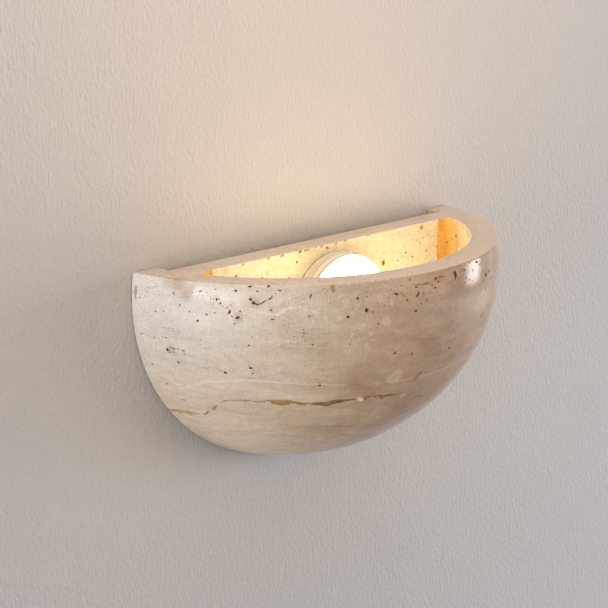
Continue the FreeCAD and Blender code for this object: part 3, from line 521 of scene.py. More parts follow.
tan_and_shade_curve = [((math.radians(angle) + ANGLE_SPAN) / (2 * ANGLE_SPAN), tan) for angle, tan in TAN_AND_SHADE_BY_ANGLE]
seam_line, seam_widths = line_round_bowl(SEAM_PIXELS)
pale_line, _ = line_round_bowl(PALE_PIXELS)
brown_lines = [line_round_bowl(pixels) for pixels in BROWN_LINES]
streaks = [(on_stone(u0, v0)[0], on_stone(u1, v1)[0], wide * MM, code, strength)
           for u0, v0, u1, v1, wide, code, strength in STREAK_PIXELS]
shaded_from = corner_aside - CORNER_SHADE_WIDTH
calcite_spots = [(on_stone(u, v)[0], wide * MM) for u, v, wide in CALCITE_PIXELS]
stain_spots = [(on_stone(u, v)[0], wide * MM) for u, v, wide in STAIN_PIXELS]
print("the ochre seam runs from", round(seam_line[0][0], 2), "to", round(seam_line[-1][0], 2),
      "of the way round")

# %% [markdown]
# ## Three finishes of one stone
# The outside is polished, the rim is honed matt, and the hollow and the back are left from the grinding
# wheel. They are the same block, so one function lays the same pattern through all of them, and only the
# gloss, the tint and the grit differ. A noise bends the height a little first, so that no line is ruler
# straight. What is left between the bent height and a mark's curve is the distance to the mark, and a
# second noise makes the seam swell, thin out and break.


# %% Distance to a line and to spots
def line_gap(add, share, height, points):
    """How far a point lies above or below a line that runs round the bowl."""
    curve = add("FloatCurve", {"Value": share}, points=points)
    return gap_between(add, height, remap(add, curve, target=(LOW_Z, HIGH_Z)))


def seam_depth(add, share, height, line, widths, ragged, soft_mm):
    """One inside a seam that runs round the bowl, and nought past its ragged edge."""
    thick = add("FloatCurve", {"Value": share}, points=widths)
    thick = remap(add, thick, target=(-THICKEST / 2, THICKEST / 2))
    thick = maths(add, "ADD", thick, ragged)
    edge = maths(add, "SUBTRACT", thick, line_gap(add, share, height, line))
    return remap(add, edge, (0, soft_mm * MM))


def streak_depth(add, place, start, stop, wide, ragged):
    """How deep a point lies in a straight streak: nought at its ragged edge, one in its middle."""
    run = stop - start
    away = add("VectorMath", {0: place, 1: start}, operation="SUBTRACT")
    share = add("VectorMath", {0: away, 1: run / run.length_squared}, output=1, operation="DOT_PRODUCT")
    share = maths(add, "MULTIPLY", share, 1.0, use_clamp=True)
    nearest = add("VectorMath", {0: run, "Scale": share}, operation="SCALE")
    away = add("VectorMath", {0: away, 1: nearest}, output=1, operation="DISTANCE")
    away = maths(add, "ADD", away, ragged)
    return remap(add, away, (wide / 2, wide / 5))


def spot_depth(add, place, spots, ragged):
    """How deep a point lies inside any of the spots: nought at a ragged edge, one at a centre."""
    total = 0.0
    for centre, wide in spots:
        away = add("VectorMath", {0: place, 1: centre}, output=1, operation="DISTANCE")
        away = maths(add, "ADD", away, ragged)
        depth = remap(add, away, (wide / 2, 0.0))
        total = maths(add, "MAXIMUM", depth, total)
    return total


# %% [markdown]
# ## Beds and clouds
# Travertine is lime that a hot spring laid down in level beds. So nearly every pattern reads the height,
# bent by a slow sway and a ripple, and is drawn out along the beds. What the patterns share is worked out
# once: the place, the angle round the bowl, the bent height, and two stretched places.


# %% Where a point lies in the beds
def bedding(add, place):
    """What the stone's patterns read at a point."""
    x, y, z = [add("SeparateXYZ", {0: place}, output=axis) for axis in "XYZ"]
    ahead = maths(add, "SUBTRACT", axis_behind, y)
    angle = maths(add, "ARCTAN2", x, ahead)
    share = remap(add, angle, (-ANGLE_SPAN, ANGLE_SPAN))
    sway = noise(add, place, 70, 3.0)
    ripple = noise(add, place, 9, 4.0)
    fine = noise(add, place, 3.5, 4.0, 0.6)
    lift = remap(add, sway, target=(-9 * MM, 9 * MM))
    wobble = remap(add, ripple, target=(-1.7 * MM, 1.7 * MM))
    bed = maths(add, "ADD", z, lift)
    bed = maths(add, "ADD", bed, wobble)
    along = add("VectorMath", {0: place, 1: (0.12, 0.12, 0.0)}, operation="MULTIPLY")
    layers = add("VectorMath", {0: along, 1: add("CombineXYZ", {2: bed})}, operation="ADD")
    squeezed = maths(add, "MULTIPLY", bed, 2.2)
    flat = add("CombineXYZ", {0: x, 1: y, 2: squeezed})
    cloud = noise(add, flat, 50, 5.0, 0.6, 0.4)
    return SimpleNamespace(place=place, x=x, y=y, z=z, angle=angle, share=share, ripple=ripple, fine=fine,
                           wobble=wobble, bed=bed, layers=layers, flat=flat, cloud=cloud)


# %% Colour of the beds
def bed_colour(add, at, tint, tint_share):
    """Clouds that lie along the beds, cream at the left and tan at the right with painted light and shade in
    that drift, and warmer at the foot.
    """
    drift = add("FloatCurve", {"Value": at.share}, points=tan_and_shade_curve)
    patches = remap(add, at.cloud, (0.2, 0.8), (-0.16, 0.16))
    tone = maths(add, "ADD", patches, drift)
    colour = add("ValToRGB", {0: tone}, stops=[
        (0.0, "#EDE9E3"), (0.3, "#DFD9D0"), (0.55, "#CBC0B1"), (0.78, "#B3A190"), (1.0, "#947F6E")])
    foot = remap(add, at.bed, (0.04, -0.03))
    colour = glaze(add, foot, colour, paint("#FFEFDC"), blend_type="MULTIPLY")
    return glaze(add, tint_share, colour, paint(tint))


def painted_corner_shade(add, at, colour, corner_shade_share):
    """Painted shade in the hollow's two back corners, where the lamp's face doesn't shine: amber as its
    bounced light and darker towards the back plate, with faint blotches of the same colours.
    """
    aside = maths(add, "ABSOLUTE", at.x)
    aside = maths(add, "ADD", aside, at.wobble)
    ahead = remap(add, at.y, (inner_face, inner_face - CORNER_SHADE_FADE), (0, 0.8))
    ahead = maths(add, "MULTIPLY_ADD", at.ripple, 0.4, ahead)
    corner_shade_tone = add("ValToRGB", {0: ahead}, stops=[
        (0.12, "#D8952C"), (0.3, "#E6AE4C"), (0.55, "#F2CC7C"), (0.95, "#FFEFC8")])
    corner_shade = remap(add, aside, (shaded_from, shaded_from + 0.8 * MM))
    inside = maths(add, "LESS_THAN", at.y, inner_face + MM)
    inside = maths(add, "MULTIPLY", inside, corner_shade_share)
    corner_shade = maths(add, "MULTIPLY", corner_shade, inside)
    blotch = noise(add, at.place, 8, 6.0, 0.7)
    blotch = remap(add, blotch, (0.5, 0.72), (0, 0.45))
    corner_shade = maths(add, "MAXIMUM", corner_shade, blotch)
    return glaze(add, corner_shade, colour, corner_shade_tone)


def light_and_dark(add, at):
    """Broad beds, thin layers that gather towards the bottom, a mottle and a fine grain."""
    broad = noise(add, at.layers, 13, 3.0)
    light = remap(add, broad, (0.3, 0.7), (0.93, 1.05))
    thin = noise(add, at.layers, 2.6, 5.0, 0.68)
    thin = remap(add, thin, (0.3, 0.7), (-0.16, 0.11))
    lower = remap(add, at.z, (0.03, -0.06), (0.25, 1))
    light = maths(add, "MULTIPLY_ADD", thin, lower, light)
    for wide, detail, rough, change in ((5, 6.0, 0.72, 0.085), (1.5, 3.0, 0.7, 0.1)):
        speckle = noise(add, at.place, wide, detail, rough)
        speckle = remap(add, speckle, (0.3, 0.7), (-change, change))
        light = maths(add, "ADD", light, speckle)
    return light


# %% [markdown]
# ## Marks over the beds
# Each mark is a pair: how much of it shows at a point, and its colour. The marks are gathered in a list
# and laid over the stone one after the other, as a painter would glaze them.


# %% Lines along the beds
def line_marks(add, at):
    """Wisps of pale calcite, threads of brown clay, the healed line, the ochre seam and brown lines."""
    marks = []
    for wide, narrow, patches, code, strength, source in (
            (26, 0.03, 40, "#EFE7DA", 0.1, at.flat), (11, 0.012, 30, "#95694A", 0.42, at.layers)):
        veil = noise(add, source, wide, 5.0, 0.62)
        ridge = remap(add, gap_between(add, veil, 0.5), (narrow, 0), (0, strength))
        where = noise(add, at.flat, patches, 2.0)
        where = remap(add, where, (0.48, 0.62))
        marks.append((maths(add, "MULTIPLY", ridge, where), paint(code)))

    # The pale healed line fades out to the right
    frayed = remap(add, at.fine, (0.2, 0.8), (-1.3 * MM, 1.3 * MM))
    frayed = maths(add, "ADD", at.z, frayed)
    pale_gap = line_gap(add, at.share, frayed, pale_line)
    pale = remap(add, pale_gap, (1.4 * MM, 0.2 * MM), (0, 0.62))
    fade = remap(add, at.angle, (-0.9, -0.4), (1.0, 0.15))
    marks.append((maths(add, "MULTIPLY", pale, fade), paint("#F0E9DF")))

    # The ochre seam is paler at the left
    ragged = remap(add, at.fine, (0.2, 0.8), (-0.6 * MM, 0.6 * MM))
    paler = remap(add, at.angle, (-1.4, -0.3), (0.27, -0.27))
    paler = maths(add, "ADD", at.ripple, paler)
    ochre = add("ValToRGB", {0: paler}, stops=[(0.2, "#7A5836"), (0.5, "#AA8353"), (0.8, "#CFAF84")])
    marks.append((seam_depth(add, at.share, frayed, seam_line, seam_widths, ragged, 0.2), ochre))
    lines = 0.0
    for line, widths in brown_lines:
        depth = seam_depth(add, at.share, frayed, line, widths, ragged, 0.4)
        lines = maths(add, "MAXIMUM", depth, lines)
    marks.append((maths(add, "MULTIPLY", lines, 0.55), paint("#8F6648")))
    return marks


# %% Spots, stains and specks
def spot_marks(add, at):
    """Calcite spots with a paler ring, brown stains and streaks."""
    fray = remap(add, at.fine, (0.2, 0.8), (-1.5 * MM, 1.5 * MM))
    calcite = spot_depth(add, at.place, calcite_spots, fray)
    body = remap(add, calcite, (0, 0.3), (0, 0.17))
    ring = remap(add, gap_between(add, calcite, 0.14), (0.12, 0), (0, 0.12))
    marks = [(maths(add, "ADD", body, ring), paint("#EFE9DE"))]
    stain = spot_depth(add, at.place, stain_spots, fray)
    marks.append((remap(add, stain, (0, 0.7), (0, 0.38)), paint("#A4764E")))
    for start, stop, wide, code, strength in streaks:
        depth = streak_depth(add, at.place, start, stop, wide, fray)
        marks.append((maths(add, "MULTIPLY", depth, strength), paint(code)))
    return marks


def speck_cover(add, at):
    """Specks, which gather in drifts and below the rim."""
    cells = add("TexVoronoi", {"Vector": at.place, "Scale": per(1.9)})
    gather = noise(add, at.flat, 22, 3.0)
    crowd = remap(add, at.z, (0, 0.04), (0, 0.09))
    gather = maths(add, "ADD", gather, crowd)
    reach = remap(add, gather, (0.46, 0.70), (0.04, 0.27))
    edge = maths(add, "SUBTRACT", reach, cells)
    return remap(add, edge, (0, 0.08), (0, 0.62))


# %% Travertine
# Travertine: lime laid down by a hot spring in level beds, cream to tan, with healed pores of clear
# calcite, clay in its seams, and a soft gloss where it is polished.
def travertine(name, roughness, tint, tint_share, grit_mm, corner_shade_share=0.0):
    """The stone in one of its finishes."""
    made, add, shader, place = new_finish(name)
    at = bedding(add, place)
    colour = bed_colour(add, at, tint, tint_share)
    # The hollow's finish gets painted amber shade in its back corners
    if corner_shade_share:
        colour = painted_corner_shade(add, at, colour, corner_shade_share)
    colour = add("VectorMath", {0: colour, "Scale": light_and_dark(add, at)}, operation="SCALE")
    specks = speck_cover(add, at)
    for cover, over in line_marks(add, at) + spot_marks(add, at) + [(specks, paint("#8A6042"))]:
        colour = glaze(add, cover, colour, over)
    matt = remap(add, at.cloud, (0.3, 0.7), roughness)
    dull = maths(add, "MULTIPLY_ADD", specks, 0.4, matt)
    grit = noise(add, place, grit_mm, 3.0)
    height = maths(add, "MULTIPLY_ADD", specks, -0.5, grit)
    bump = add("Bump", {"Height": height, "Distance": 0.035 * MM, "Strength": 1.0})
    set_inputs(shader, {"Base Color": colour, "Roughness": dull, "Normal": bump, "IOR": 1.5})
    return made


# Broken calcite inside a pore: rough, and stained brown by the clay that it held. The copy for pores in the
# hollow is painted lighter and amber, as painted lamp light.
def open_pore(name, dark, middle, light):
    made, add, shader, place = new_finish(name)
    grain = noise(add, place, 1.4, 3.0)
    colour = add("ValToRGB", {0: grain}, stops=[(0.3, dark), (0.55, middle), (0.8, light)])
    set_inputs(shader, {"Base Color": colour, "Roughness": 0.85})
    return made


POLISHED, HONED, GROUND, PORE, LIT_PORE = range(5)
stone_finishes = [travertine("polished_travertine", (0.09, 0.17), "#D8C4AE", 0.0, 1.2),
                  travertine("honed_travertine", (0.52, 0.62), "#E0CCBC", 0.88, 0.8),
                  travertine("ground_travertine", (0.55, 0.68), "#DCD7C3", 0.85, 0.9, 0.9),
                  open_pore("open_pore", "#7C563F", "#9A7154", "#BF9676"),
                  open_pore("lamp_lit_pore", "#C28A44", "#D09A52", "#DDAE6C")]
print("stone finishes:", [finish.name for finish in stone_finishes])


# %% [markdown]
# ## Cut the hollow, the recess and the bores
# Each cutting body carries the finish that its tool leaves, and the cut hands that finish to the new
# faces. The arrises are then eased, as a mason takes the knife edge off with a stone.

# %% Cutting bodies
def use_finish(piece, number):
    piece.data.polygons.foreach_set("material_index", [number] * len(piece.data.polygons))


def finish_stone(piece, number):
    for finish in stone_finishes:
        piece.data.materials.append(finish)
    use_finish(piece, number)


def wall_rod(name, radius, near, far, x=0.0, z=0.0, sides=64):
    """Round bar square to the wall between two depths."""
    bpy.ops.object.select_all(action="DESELECT")
    bpy.ops.mesh.primitive_cylinder_add(vertices=sides, radius=radius, depth=far - near,
                                        location=(x, -(near + far) / 2, z), rotation=(math.pi / 2, 0, 0))
    piece = fresh(name)
    finish_stone(piece, GROUND)
    return piece


finish_stone(stone, POLISHED)
finish_stone(hollow, GROUND)
carve(stone, hollow)

recess = wall_rod("recess", 1.0, -OVERRUN, -recess_front, sides=200)
edit_all(recess)
bpy.ops.transform.resize(value=(half_width - EAR_WIDTH, 1, bowl_height - WIDEST_BELOW_RIM - EAR_WIDTH),
                         center_override=(0, 0, 0))
bpy.ops.transform.translate(value=(0, 0, widest))
end_edit()
carve(stone, recess)

holder_low, holder_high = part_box("holder_body")
screws_low, screws_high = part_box("holder_screws")
nut_low, nut_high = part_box("right_knurled_nut")
holder_radius = (holder_high.x - holder_low.x) / 2 + SEAT_CLEARANCE
screw_spread = (screws_high.z - screws_low.z - screws_high.x + screws_low.x) / 2
stud_x = (nut_low.x + nut_high.x) / 2
stud_z = (nut_low.z + nut_high.z) / 2
behind = -recess_front - OVERRUN
before = -inner_face + OVERRUN
carve(stone, wall_rod("seat", holder_radius, -holder_high.y, before, 0, lamp_height, sides=128))
carve(stone, wall_rod("wire_bore", holder_radius - SEAT_WIDTH, behind, before, 0, lamp_height, sides=96))
for side in (-1, 1):
    carve(stone, wall_rod("stud_hole", STUD_HOLE, behind, before, side * stud_x, stud_z))
    carve(stone, wall_rod("screw_hole", SCREW_HOLE, behind, before, 0, lamp_height + side * screw_spread))

for face in stone.data.polygons:
    if face.normal.z > SQUARE_ON and face.center.z > rim - OVERRUN / 2:
        face.material_index = HONED
edit_all(stone)
bpy.ops.mesh.remove_doubles(threshold=0.05 * MM)
bpy.ops.mesh.select_mode(type="EDGE")
bpy.ops.mesh.select_all(action="DESELECT")
bpy.ops.mesh.edges_select_sharp(sharpness=math.radians(40))
end_edit()
sharp = {edge.index for edge in stone.data.edges if edge.select}
high = {vertex.index for vertex in stone.data.vertices if vertex.co.z > rim - SNUG}
pick(stone, "EDGE", lambda edge: edge.index in sharp and set(edge.vertices) <= high)
bpy.ops.mesh.bevel(offset=ARRIS, segments=3, clamp_overlap=False)
bpy.ops.mesh.select_mode(type="VERT")
end_edit()
describe(stone)

# %% [markdown]
# ## Open pores
# Travertine is full of holes where reeds and gas once were, and polishing opens them. So each pore is a
# real hollow with a sharp lip and a dark inside. Ragged pebbles are made from an ico sphere whose points
# are pushed about at random. Copies are laid where the photograph shows a pore, more are scattered where
# it doesn't look, and all of them are taken out of the stone.

# %% Ragged pebbles
PEBBLE_SEEDS = (3, 8, 21, 34)
pebbles = []
for seed in PEBBLE_SEEDS:
    bpy.ops.object.select_all(action="DESELECT")
    bpy.ops.mesh.primitive_ico_sphere_add(subdivisions=2, radius=1.0)
    bpy.ops.object.mode_set(mode="EDIT")
    bpy.ops.transform.vertex_random(offset=0.46, uniform=0.6, normal=0.4, seed=seed)
    end_edit()
    made = bpy.context.object
    finish_stone(made, PORE)
    pebbles.append(made)
print(len(pebbles), "pebbles of", len(pebbles[0].data.polygons), "faces")

# %% Pores that the photograph shows
# Column, row, width and height in pixels, and a tilt in degrees where the pore doesn't lie level
PORE_PIXELS = [
    (139.5, 271.3, 8, 1.6, -8), (139.8, 297.6, 2, 2), (155.5, 286.8, 1.5, 1.5), (173.8, 293.3, 3, 2, -30),
    (179.6, 304.9, 2, 2), (155.5, 311.6, 3, 2, -10), (163.5, 311.3, 2, 1.5), (189.6, 311.6, 2, 2, 30),
    (197.4, 320.5, 3, 2.5), (206.4, 314.6, 2.5, 3, -30), (200.4, 291.2, 3, 2), (215.5, 289.1, 3, 1.2),
    (216.4, 299.2, 2.5, 3), (220.4, 303.5, 3, 2.5, 40), (236, 291, 3.5, 3, -35), (229.5, 312.2, 3, 6, -30),
    (237.2, 317.6, 5, 2.5, 5), (234.5, 323.9, 3, 1.8, 20), (250.3, 286.5, 5, 2.5, 5),
    (257.3, 291.5, 2.5, 2), (268.4, 286.1, 4.5, 2.5, 35), (279.4, 290.5, 4.5, 2.5, -20),
    (250.6, 299.5, 4, 4, -40), (253.9, 303.1, 5, 4, -20), (257.2, 304.2, 4, 1.8), (260.8, 303.6, 3, 2, 20),
    (263.6, 302.2, 4, 2, 30), (271.3, 310.2, 3, 2), (272.3, 319.3, 5, 1.2), (310.4, 296.8, 2.2, 7, -15),
    (309.5, 316.3, 2, 3.5, -15), (303.5, 329.6, 2, 1.6), (303.7, 333, 2.2, 1.6), (154.6, 337.4, 2.4, 2),
    (166.2, 337.7, 3, 1.5), (167.5, 349.7, 4, 4), (173.6, 348.4, 3, 1.6, -10), (177.6, 349, 3, 1.6),
    (183.6, 350.8, 3.5, 1.8, -10), (178.9, 362.5, 3.2, 2.8), (152.1, 363.4, 1.8, 1.8),
    (166.9, 383.5, 3, 1.6, -20), (184.3, 400, 4, 1.8, -40), (225.5, 372.8, 4, 3.6, -20),
    (250.6, 367.8, 3.6, 2.6, -25), (252.6, 373.8, 3.2, 2.2, 30), (249, 345.4, 2.6, 2.4, 40),
    (252.2, 337.3, 2, 1.5), (312.4, 344.6, 1.6, 2), (319.5, 385.5, 3, 4, -40), (200.8, 339.7, 1.6, 1.6),
    (231.2, 305.1, 2, 1.4), (240.1, 311.3, 2, 1.6), (214.4, 312.9, 3, 1.4, -10), (307.5, 449.9, 3, 1.6),
    (357.9, 298.5, 3, 3.6, -20), (366.2, 310.1, 4, 4.5, 10), (366.7, 296.9, 2, 1.6), (367, 291.8, 1.8, 1.4),
    (372.9, 312, 2.2, 2), (347.8, 316.8, 4, 2.6, -10), (378.1, 324, 1.8, 2.6), (396.5, 294.2, 6, 3, -30),
    (407.2, 300.2, 3, 2.4, -20), (418, 294.2, 3, 6, -35), (415.9, 311.2, 4.2, 3.2),
    (423.9, 293.8, 2.6, 2.2), (435.2, 287.8, 5, 1.8), (435.5, 279, 5, 3, 30), (440, 277, 6, 1.6, 15),
    (444, 276.6, 4, 1.6, 10), (455.5, 275, 5, 11, 5), (464, 270, 2.6, 2.2), (463.4, 275, 2, 2),
    (466.5, 278, 2, 3), (469.8, 263, 4, 1.6, -20), (476.2, 261.8, 5.5, 2.4, -15), (479, 264.4, 3, 1.4, -20),
    (469.8, 279.8, 3, 2), (473, 281, 2, 2), (485.8, 274.2, 6, 4), (489, 271.4, 3.4, 5, -20),
    (485.5, 289.4, 2, 5, -10), (410, 279.8, 3.4, 1.6), (481.3, 314.9, 2, 4), (448.6, 348.4, 3.4, 4.6, -25),
    (394.9, 353.2, 3.6, 4.4, -20), (412.1, 354, 2.4, 4, -10), (349.8, 344.1, 1.6, 1.8),
    (377, 419.3, 3.2, 2.2), (360, 344, 1.4, 1.4), (430, 339, 1.4, 1.4), (453, 329, 2, 1.2),
    (463, 341.5, 1.6, 1.6), (352.5, 309, 1.8, 1.2), (330.5, 303, 1.4, 1.2), (416, 287, 5, 1.4, -15),
    (424, 284.5, 6, 1.2, 10), (383.7, 263, 5, 7), (406, 252.4, 3, 2.4, 20), (421.2, 227.2, 4, 3, -20),
    (300, 252, 5, 4), (309, 250, 4, 2, 10), (316, 247, 3, 2), (327, 247.5, 5, 2, -20), (336, 243.4, 3, 2),
    (297, 262, 3, 3), (203, 296, 1.4, 1.2), (207, 292.6, 1.2, 1), (211, 296.4, 1.4, 1.2, 20),
    (214, 302, 1.2, 1.2), (219, 298.6, 1.2, 1.6, -20), (213, 298.8, 1.6, 1.2), (218.4, 296.2, 1, 1),
    (223, 306.4, 1.4, 1), (232, 316.4, 1.6, 2.2, -30), (227, 307.4, 1.4, 1.8, -30), (243, 306.6, 1.2, 1),
    (246, 315.4, 1.6, 1.2), (265.6, 300.6, 3, 1.4, 35), (270.4, 298.6, 2, 1.2, 30), (275.6, 293.4, 2, 1.2),
    (262.4, 289.4, 1.4, 1.2), (170.6, 347.4, 2, 1.4, 30), (169.4, 352, 1.6, 2), (163.6, 353.6, 1.2, 1),
    (174.6, 352.6, 1.2, 1), (159, 338.6, 1.4, 1), (162.4, 336.6, 1.2, 1), (248.6, 366, 2, 1.4, -30),
    (184.6, 354, 1.2, 1), (418.6, 231.6, 1.6, 1.4), (423.4, 237.6, 1.8, 1.4), (427.4, 234.4, 1.4, 1.4),
    (416.4, 240.6, 1.6, 1.2), (420.4, 243.4, 1.2, 1.2), (413.6, 235.6, 1.2, 1.2), (404, 246, 1.4, 1.2),
    (398, 236, 1.2, 1.4), (438.6, 281.6, 4, 1.8, 20), (432, 285, 2, 1.6), (450, 283, 1.6, 2.6),
    (460, 271.6, 1.6, 2.6), (464.6, 282.6, 1.4, 1.8), (472.6, 270.6, 1.6, 1.2), (483.6, 280.6, 2, 3, -20),
    (490.6, 277.6, 1.4, 2), (402, 285.6, 2, 1.4), (391, 289.6, 1.6, 1.2), (426.6, 300.6, 1.6, 3.6, -20),
    (421.4, 303.6, 2, 2, 30), (340.6, 286.6, 1.6, 1.2), (323, 289.4, 1.4, 1.2), (384.6, 305.6, 1.4, 1.4),
    (398.6, 309.4, 1.4, 1.2)]
# Chips along the edges of the rim, in the same terms
CHIP_PIXELS = [
    (212, 273.6, 4, 1.8), (236, 276, 5, 1.6), (262, 277.4, 4, 1.8), (289, 277.6, 5, 1.8),
    (398, 260.6, 4, 1.6, 8), (412, 256.6, 3, 1.6, 8), (426, 251, 5, 2, 10), (437, 247, 4, 1.8, 15),
    (447, 241.6, 5, 2, 25), (456, 235.6, 4, 2.6, 30), (463, 228, 4, 2.2, 40), (204, 268, 5, 1.6, 10),
    (243, 264.6, 6, 1.4, 12), (268, 258.4, 5, 1.8, 14), (282, 256, 6, 2.4, 14), (306, 250.4, 7, 2.4, 14),
    (322, 246.6, 7, 2.2, 14), (345, 241, 5, 1.6, 14), (368, 235.8, 5, 1.6, 14), (392, 229.4, 5, 1.6, 14),
    (415, 223.6, 4, 1.4, 14), (360, 225.8, 5, 1.2, 14), (330, 233, 4, 1.2, 14), (300, 241, 5, 1.4, 14),
    (270, 248, 5, 1.6, 14), (382, 220.6, 4, 1.2, 14)]
PORE_SCALE = 0.9
PORE_DEPTH_SHARES = (0.5, 1.2)
LEAST_DEPTH = 0.6 * MM
GROUPS = 6
groups = [[] for _ in range(GROUPS)]
depths = random.Random(2)


def lay_pebble(spot, normal, wide, tall, deep, tilt):
    """Copies a pebble onto the stone: wide along the beds, tall across them and deep into the stone."""
    level = Vector((0, 0, 1)).cross(normal)
    level = level.normalized() if level.length > SNUG else Vector((1, 0, 0))
    along = Matrix.Rotation(tilt, 3, normal) @ level
    number = sum(len(group) for group in groups)
    source = pebbles[number % len(pebbles)]
    piece = source.copy()
    piece.data = source.data.copy()
    bpy.context.scene.collection.objects.link(piece)
    # A pore in the hollow gets the lighter amber copy of the pore finish: painted lamp light
    if in_hollow(spot):
        use_finish(piece, LIT_PORE)
    sides = Matrix((along * wide / 2, normal.cross(along) * tall / 2, normal * deep)).transposed()
    piece.matrix_world = Matrix.Translation(spot) @ sides.to_4x4()
    groups[number % GROUPS].append(piece)


for u, v, wide, tall, *tilt in PORE_PIXELS + CHIP_PIXELS:
    found = on_stone(u, v)
    if found is None:
        print("a pore's ray misses the stone:", u, v)
        continue
    spot, normal = found
    pixel = (spot - camera_place).length / LENS_PIXELS * PORE_SCALE
    deep = max(min(wide, tall) * pixel * depths.uniform(*PORE_DEPTH_SHARES), LEAST_DEPTH)
    lay_pebble(spot, normal, wide * pixel, tall * pixel, deep, math.radians(sum(tilt)))
print(sum(len(group) for group in groups), "pores are laid from the photograph")

# %% Pores where the photograph doesn't look
# They gather in level drifts below the rim, as the seen ones do.
DRIFTS = 16
DRIFT_ANGLES = (-1.5, 1.5)
DRIFT_TOP = 6 * MM
DRIFT_FALL = 45 * MM
DRIFT_PORES = (4, 11)
DRIFT_WIDTH = 22 * MM
DRIFT_HEIGHT = 5 * MM
HIDDEN_PORE = (0.8 * MM, 3.6 * MM)
HIDDEN_STRETCH = (1.0, 1.8)
HIDDEN_TILT = (-0.5, 0.5)
HIDDEN_DEPTH_SHARE = 0.8
OFF_THE_WALL = 0.4 * MM
dice = random.Random(5)
scattered = 0
for _ in range(DRIFTS):
    angle = dice.uniform(*DRIFT_ANGLES)
    drift_z = rim - abs(dice.gauss(0, DRIFT_FALL)) - DRIFT_TOP
    for _ in range(dice.randint(*DRIFT_PORES)):
        turn = angle + dice.gauss(0, DRIFT_WIDTH / turn_radius)
        height = drift_z + dice.gauss(0, DRIFT_HEIGHT)
        outward = Vector((math.sin(turn), -math.cos(turn), 0))
        hit, spot, normal, _ = stone.ray_cast(outward + Vector((0, axis_behind, height)), -outward)
        if not hit or normal.dot(spot - camera_place) < 0 or spot.y > -OFF_THE_WALL:
            continue
        wide = dice.uniform(*HIDDEN_PORE)
        lay_pebble(spot, normal, wide * dice.uniform(*HIDDEN_STRETCH), wide,
                   max(wide * HIDDEN_DEPTH_SHARE, LEAST_DEPTH), dice.uniform(*HIDDEN_TILT))
        scattered += 1
print(scattered, "more pores are scattered where the camera doesn't look")

# %% Take the pebbles out
for group in groups:
    select_only(*group)
    bpy.ops.object.join()
    settle(group[0])
    carve(stone, group[0])
for source in pebbles:
    bpy.data.objects.remove(source)
smooth(stone)
describe(stone)
print("faces of each finish:", [sum(face.material_index == number for face in stone.data.polygons)
                                for number in range(len(stone_finishes))])
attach(stone, "fixture")
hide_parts("stone_bowl")

# %% [markdown]
# ## The lamp
# A flat round lamp with a twist-lock base. Its side has two rings: a finely ribbed rear half, for the
# fingers, and a smooth front ring past a thin seam. Both are moulded, round about the lamp's axis, so
# they are made as on a lathe: one point is extruded along the section, and the section is spun round.
# The grooves between the ribs are then rows of the rear half's points, drawn in.


# %% Turn a section round the lamp's axis
def turned(name, section, steps):
    """A ring or a disc from a section of (radius, depth from the wall) points."""
    bpy.ops.object.select_all(action="DESELECT")
    radius, depth = section[0]
    bpy.ops.mesh.primitive_plane_add(size=MM, location=(radius, -depth, lamp_height))
    piece = fresh(name)
    edit_all(piece)
    bpy.ops.mesh.merge(type="CENTER")
    for last, here in zip(section, section[1:]):
        step = (here[0] - last[0], last[1] - here[1], 0)
        bpy.ops.mesh.extrude_region_move(TRANSFORM_OT_translate={"value": step})
    bpy.ops.mesh.select_all(action="SELECT")
    bpy.ops.mesh.spin(steps=steps, angle=2 * math.pi, center=(0, 0, lamp_height), axis=(0, 1, 0))
    end_edit()
    face_outwards(piece)
    return piece


ROWS_PER_RIB = 4


def pull_rows(piece, rows, near, far, least, pull):
    """Draws half of a turned side's rows in, which leaves ribs. Pull is the share that is left."""
    def in_groove(vertex):
        x, up = vertex.co.x, vertex.co.z - lamp_height
        row = round(math.atan2(up, x) * rows / (2 * math.pi))
        low = row % ROWS_PER_RIB < ROWS_PER_RIB / 2
        return low and near < -vertex.co.y < far and math.hypot(x, up) > least

    pick(piece, "VERT", in_groove)
    bpy.ops.transform.resize(value=(pull, 1, pull), center_override=(0, 0, lamp_height))
    end_edit()


# %% Ribbed housing, front ring and diffuser
LAMP_RADIUS = (ring_high.x - ring_low.x) / 2
RIB_PITCH = 1.6 * MM
RIB_HEIGHT = 0.45 * MM
LAND = 0.6 * MM
SEAM = 0.55 * MM
PARTING = 0.35 * MM
EDGE = 0.5 * MM
REAR_EDGE = 1.6 * MM
SHELL = 1.6 * MM
LIP_RADIUS = 34.75 * MM
BOSS_RADIUS = 14.5 * MM
BOSS_BACK = 20.3 * MM
HOUSING_BACK = 29.8 * MM
DIFFUSER_RADIUS = 34.5 * MM
CROWN = 1.2 * MM
RING_BACK = -ring_high.y
RING_FRONT = -ring_low.y

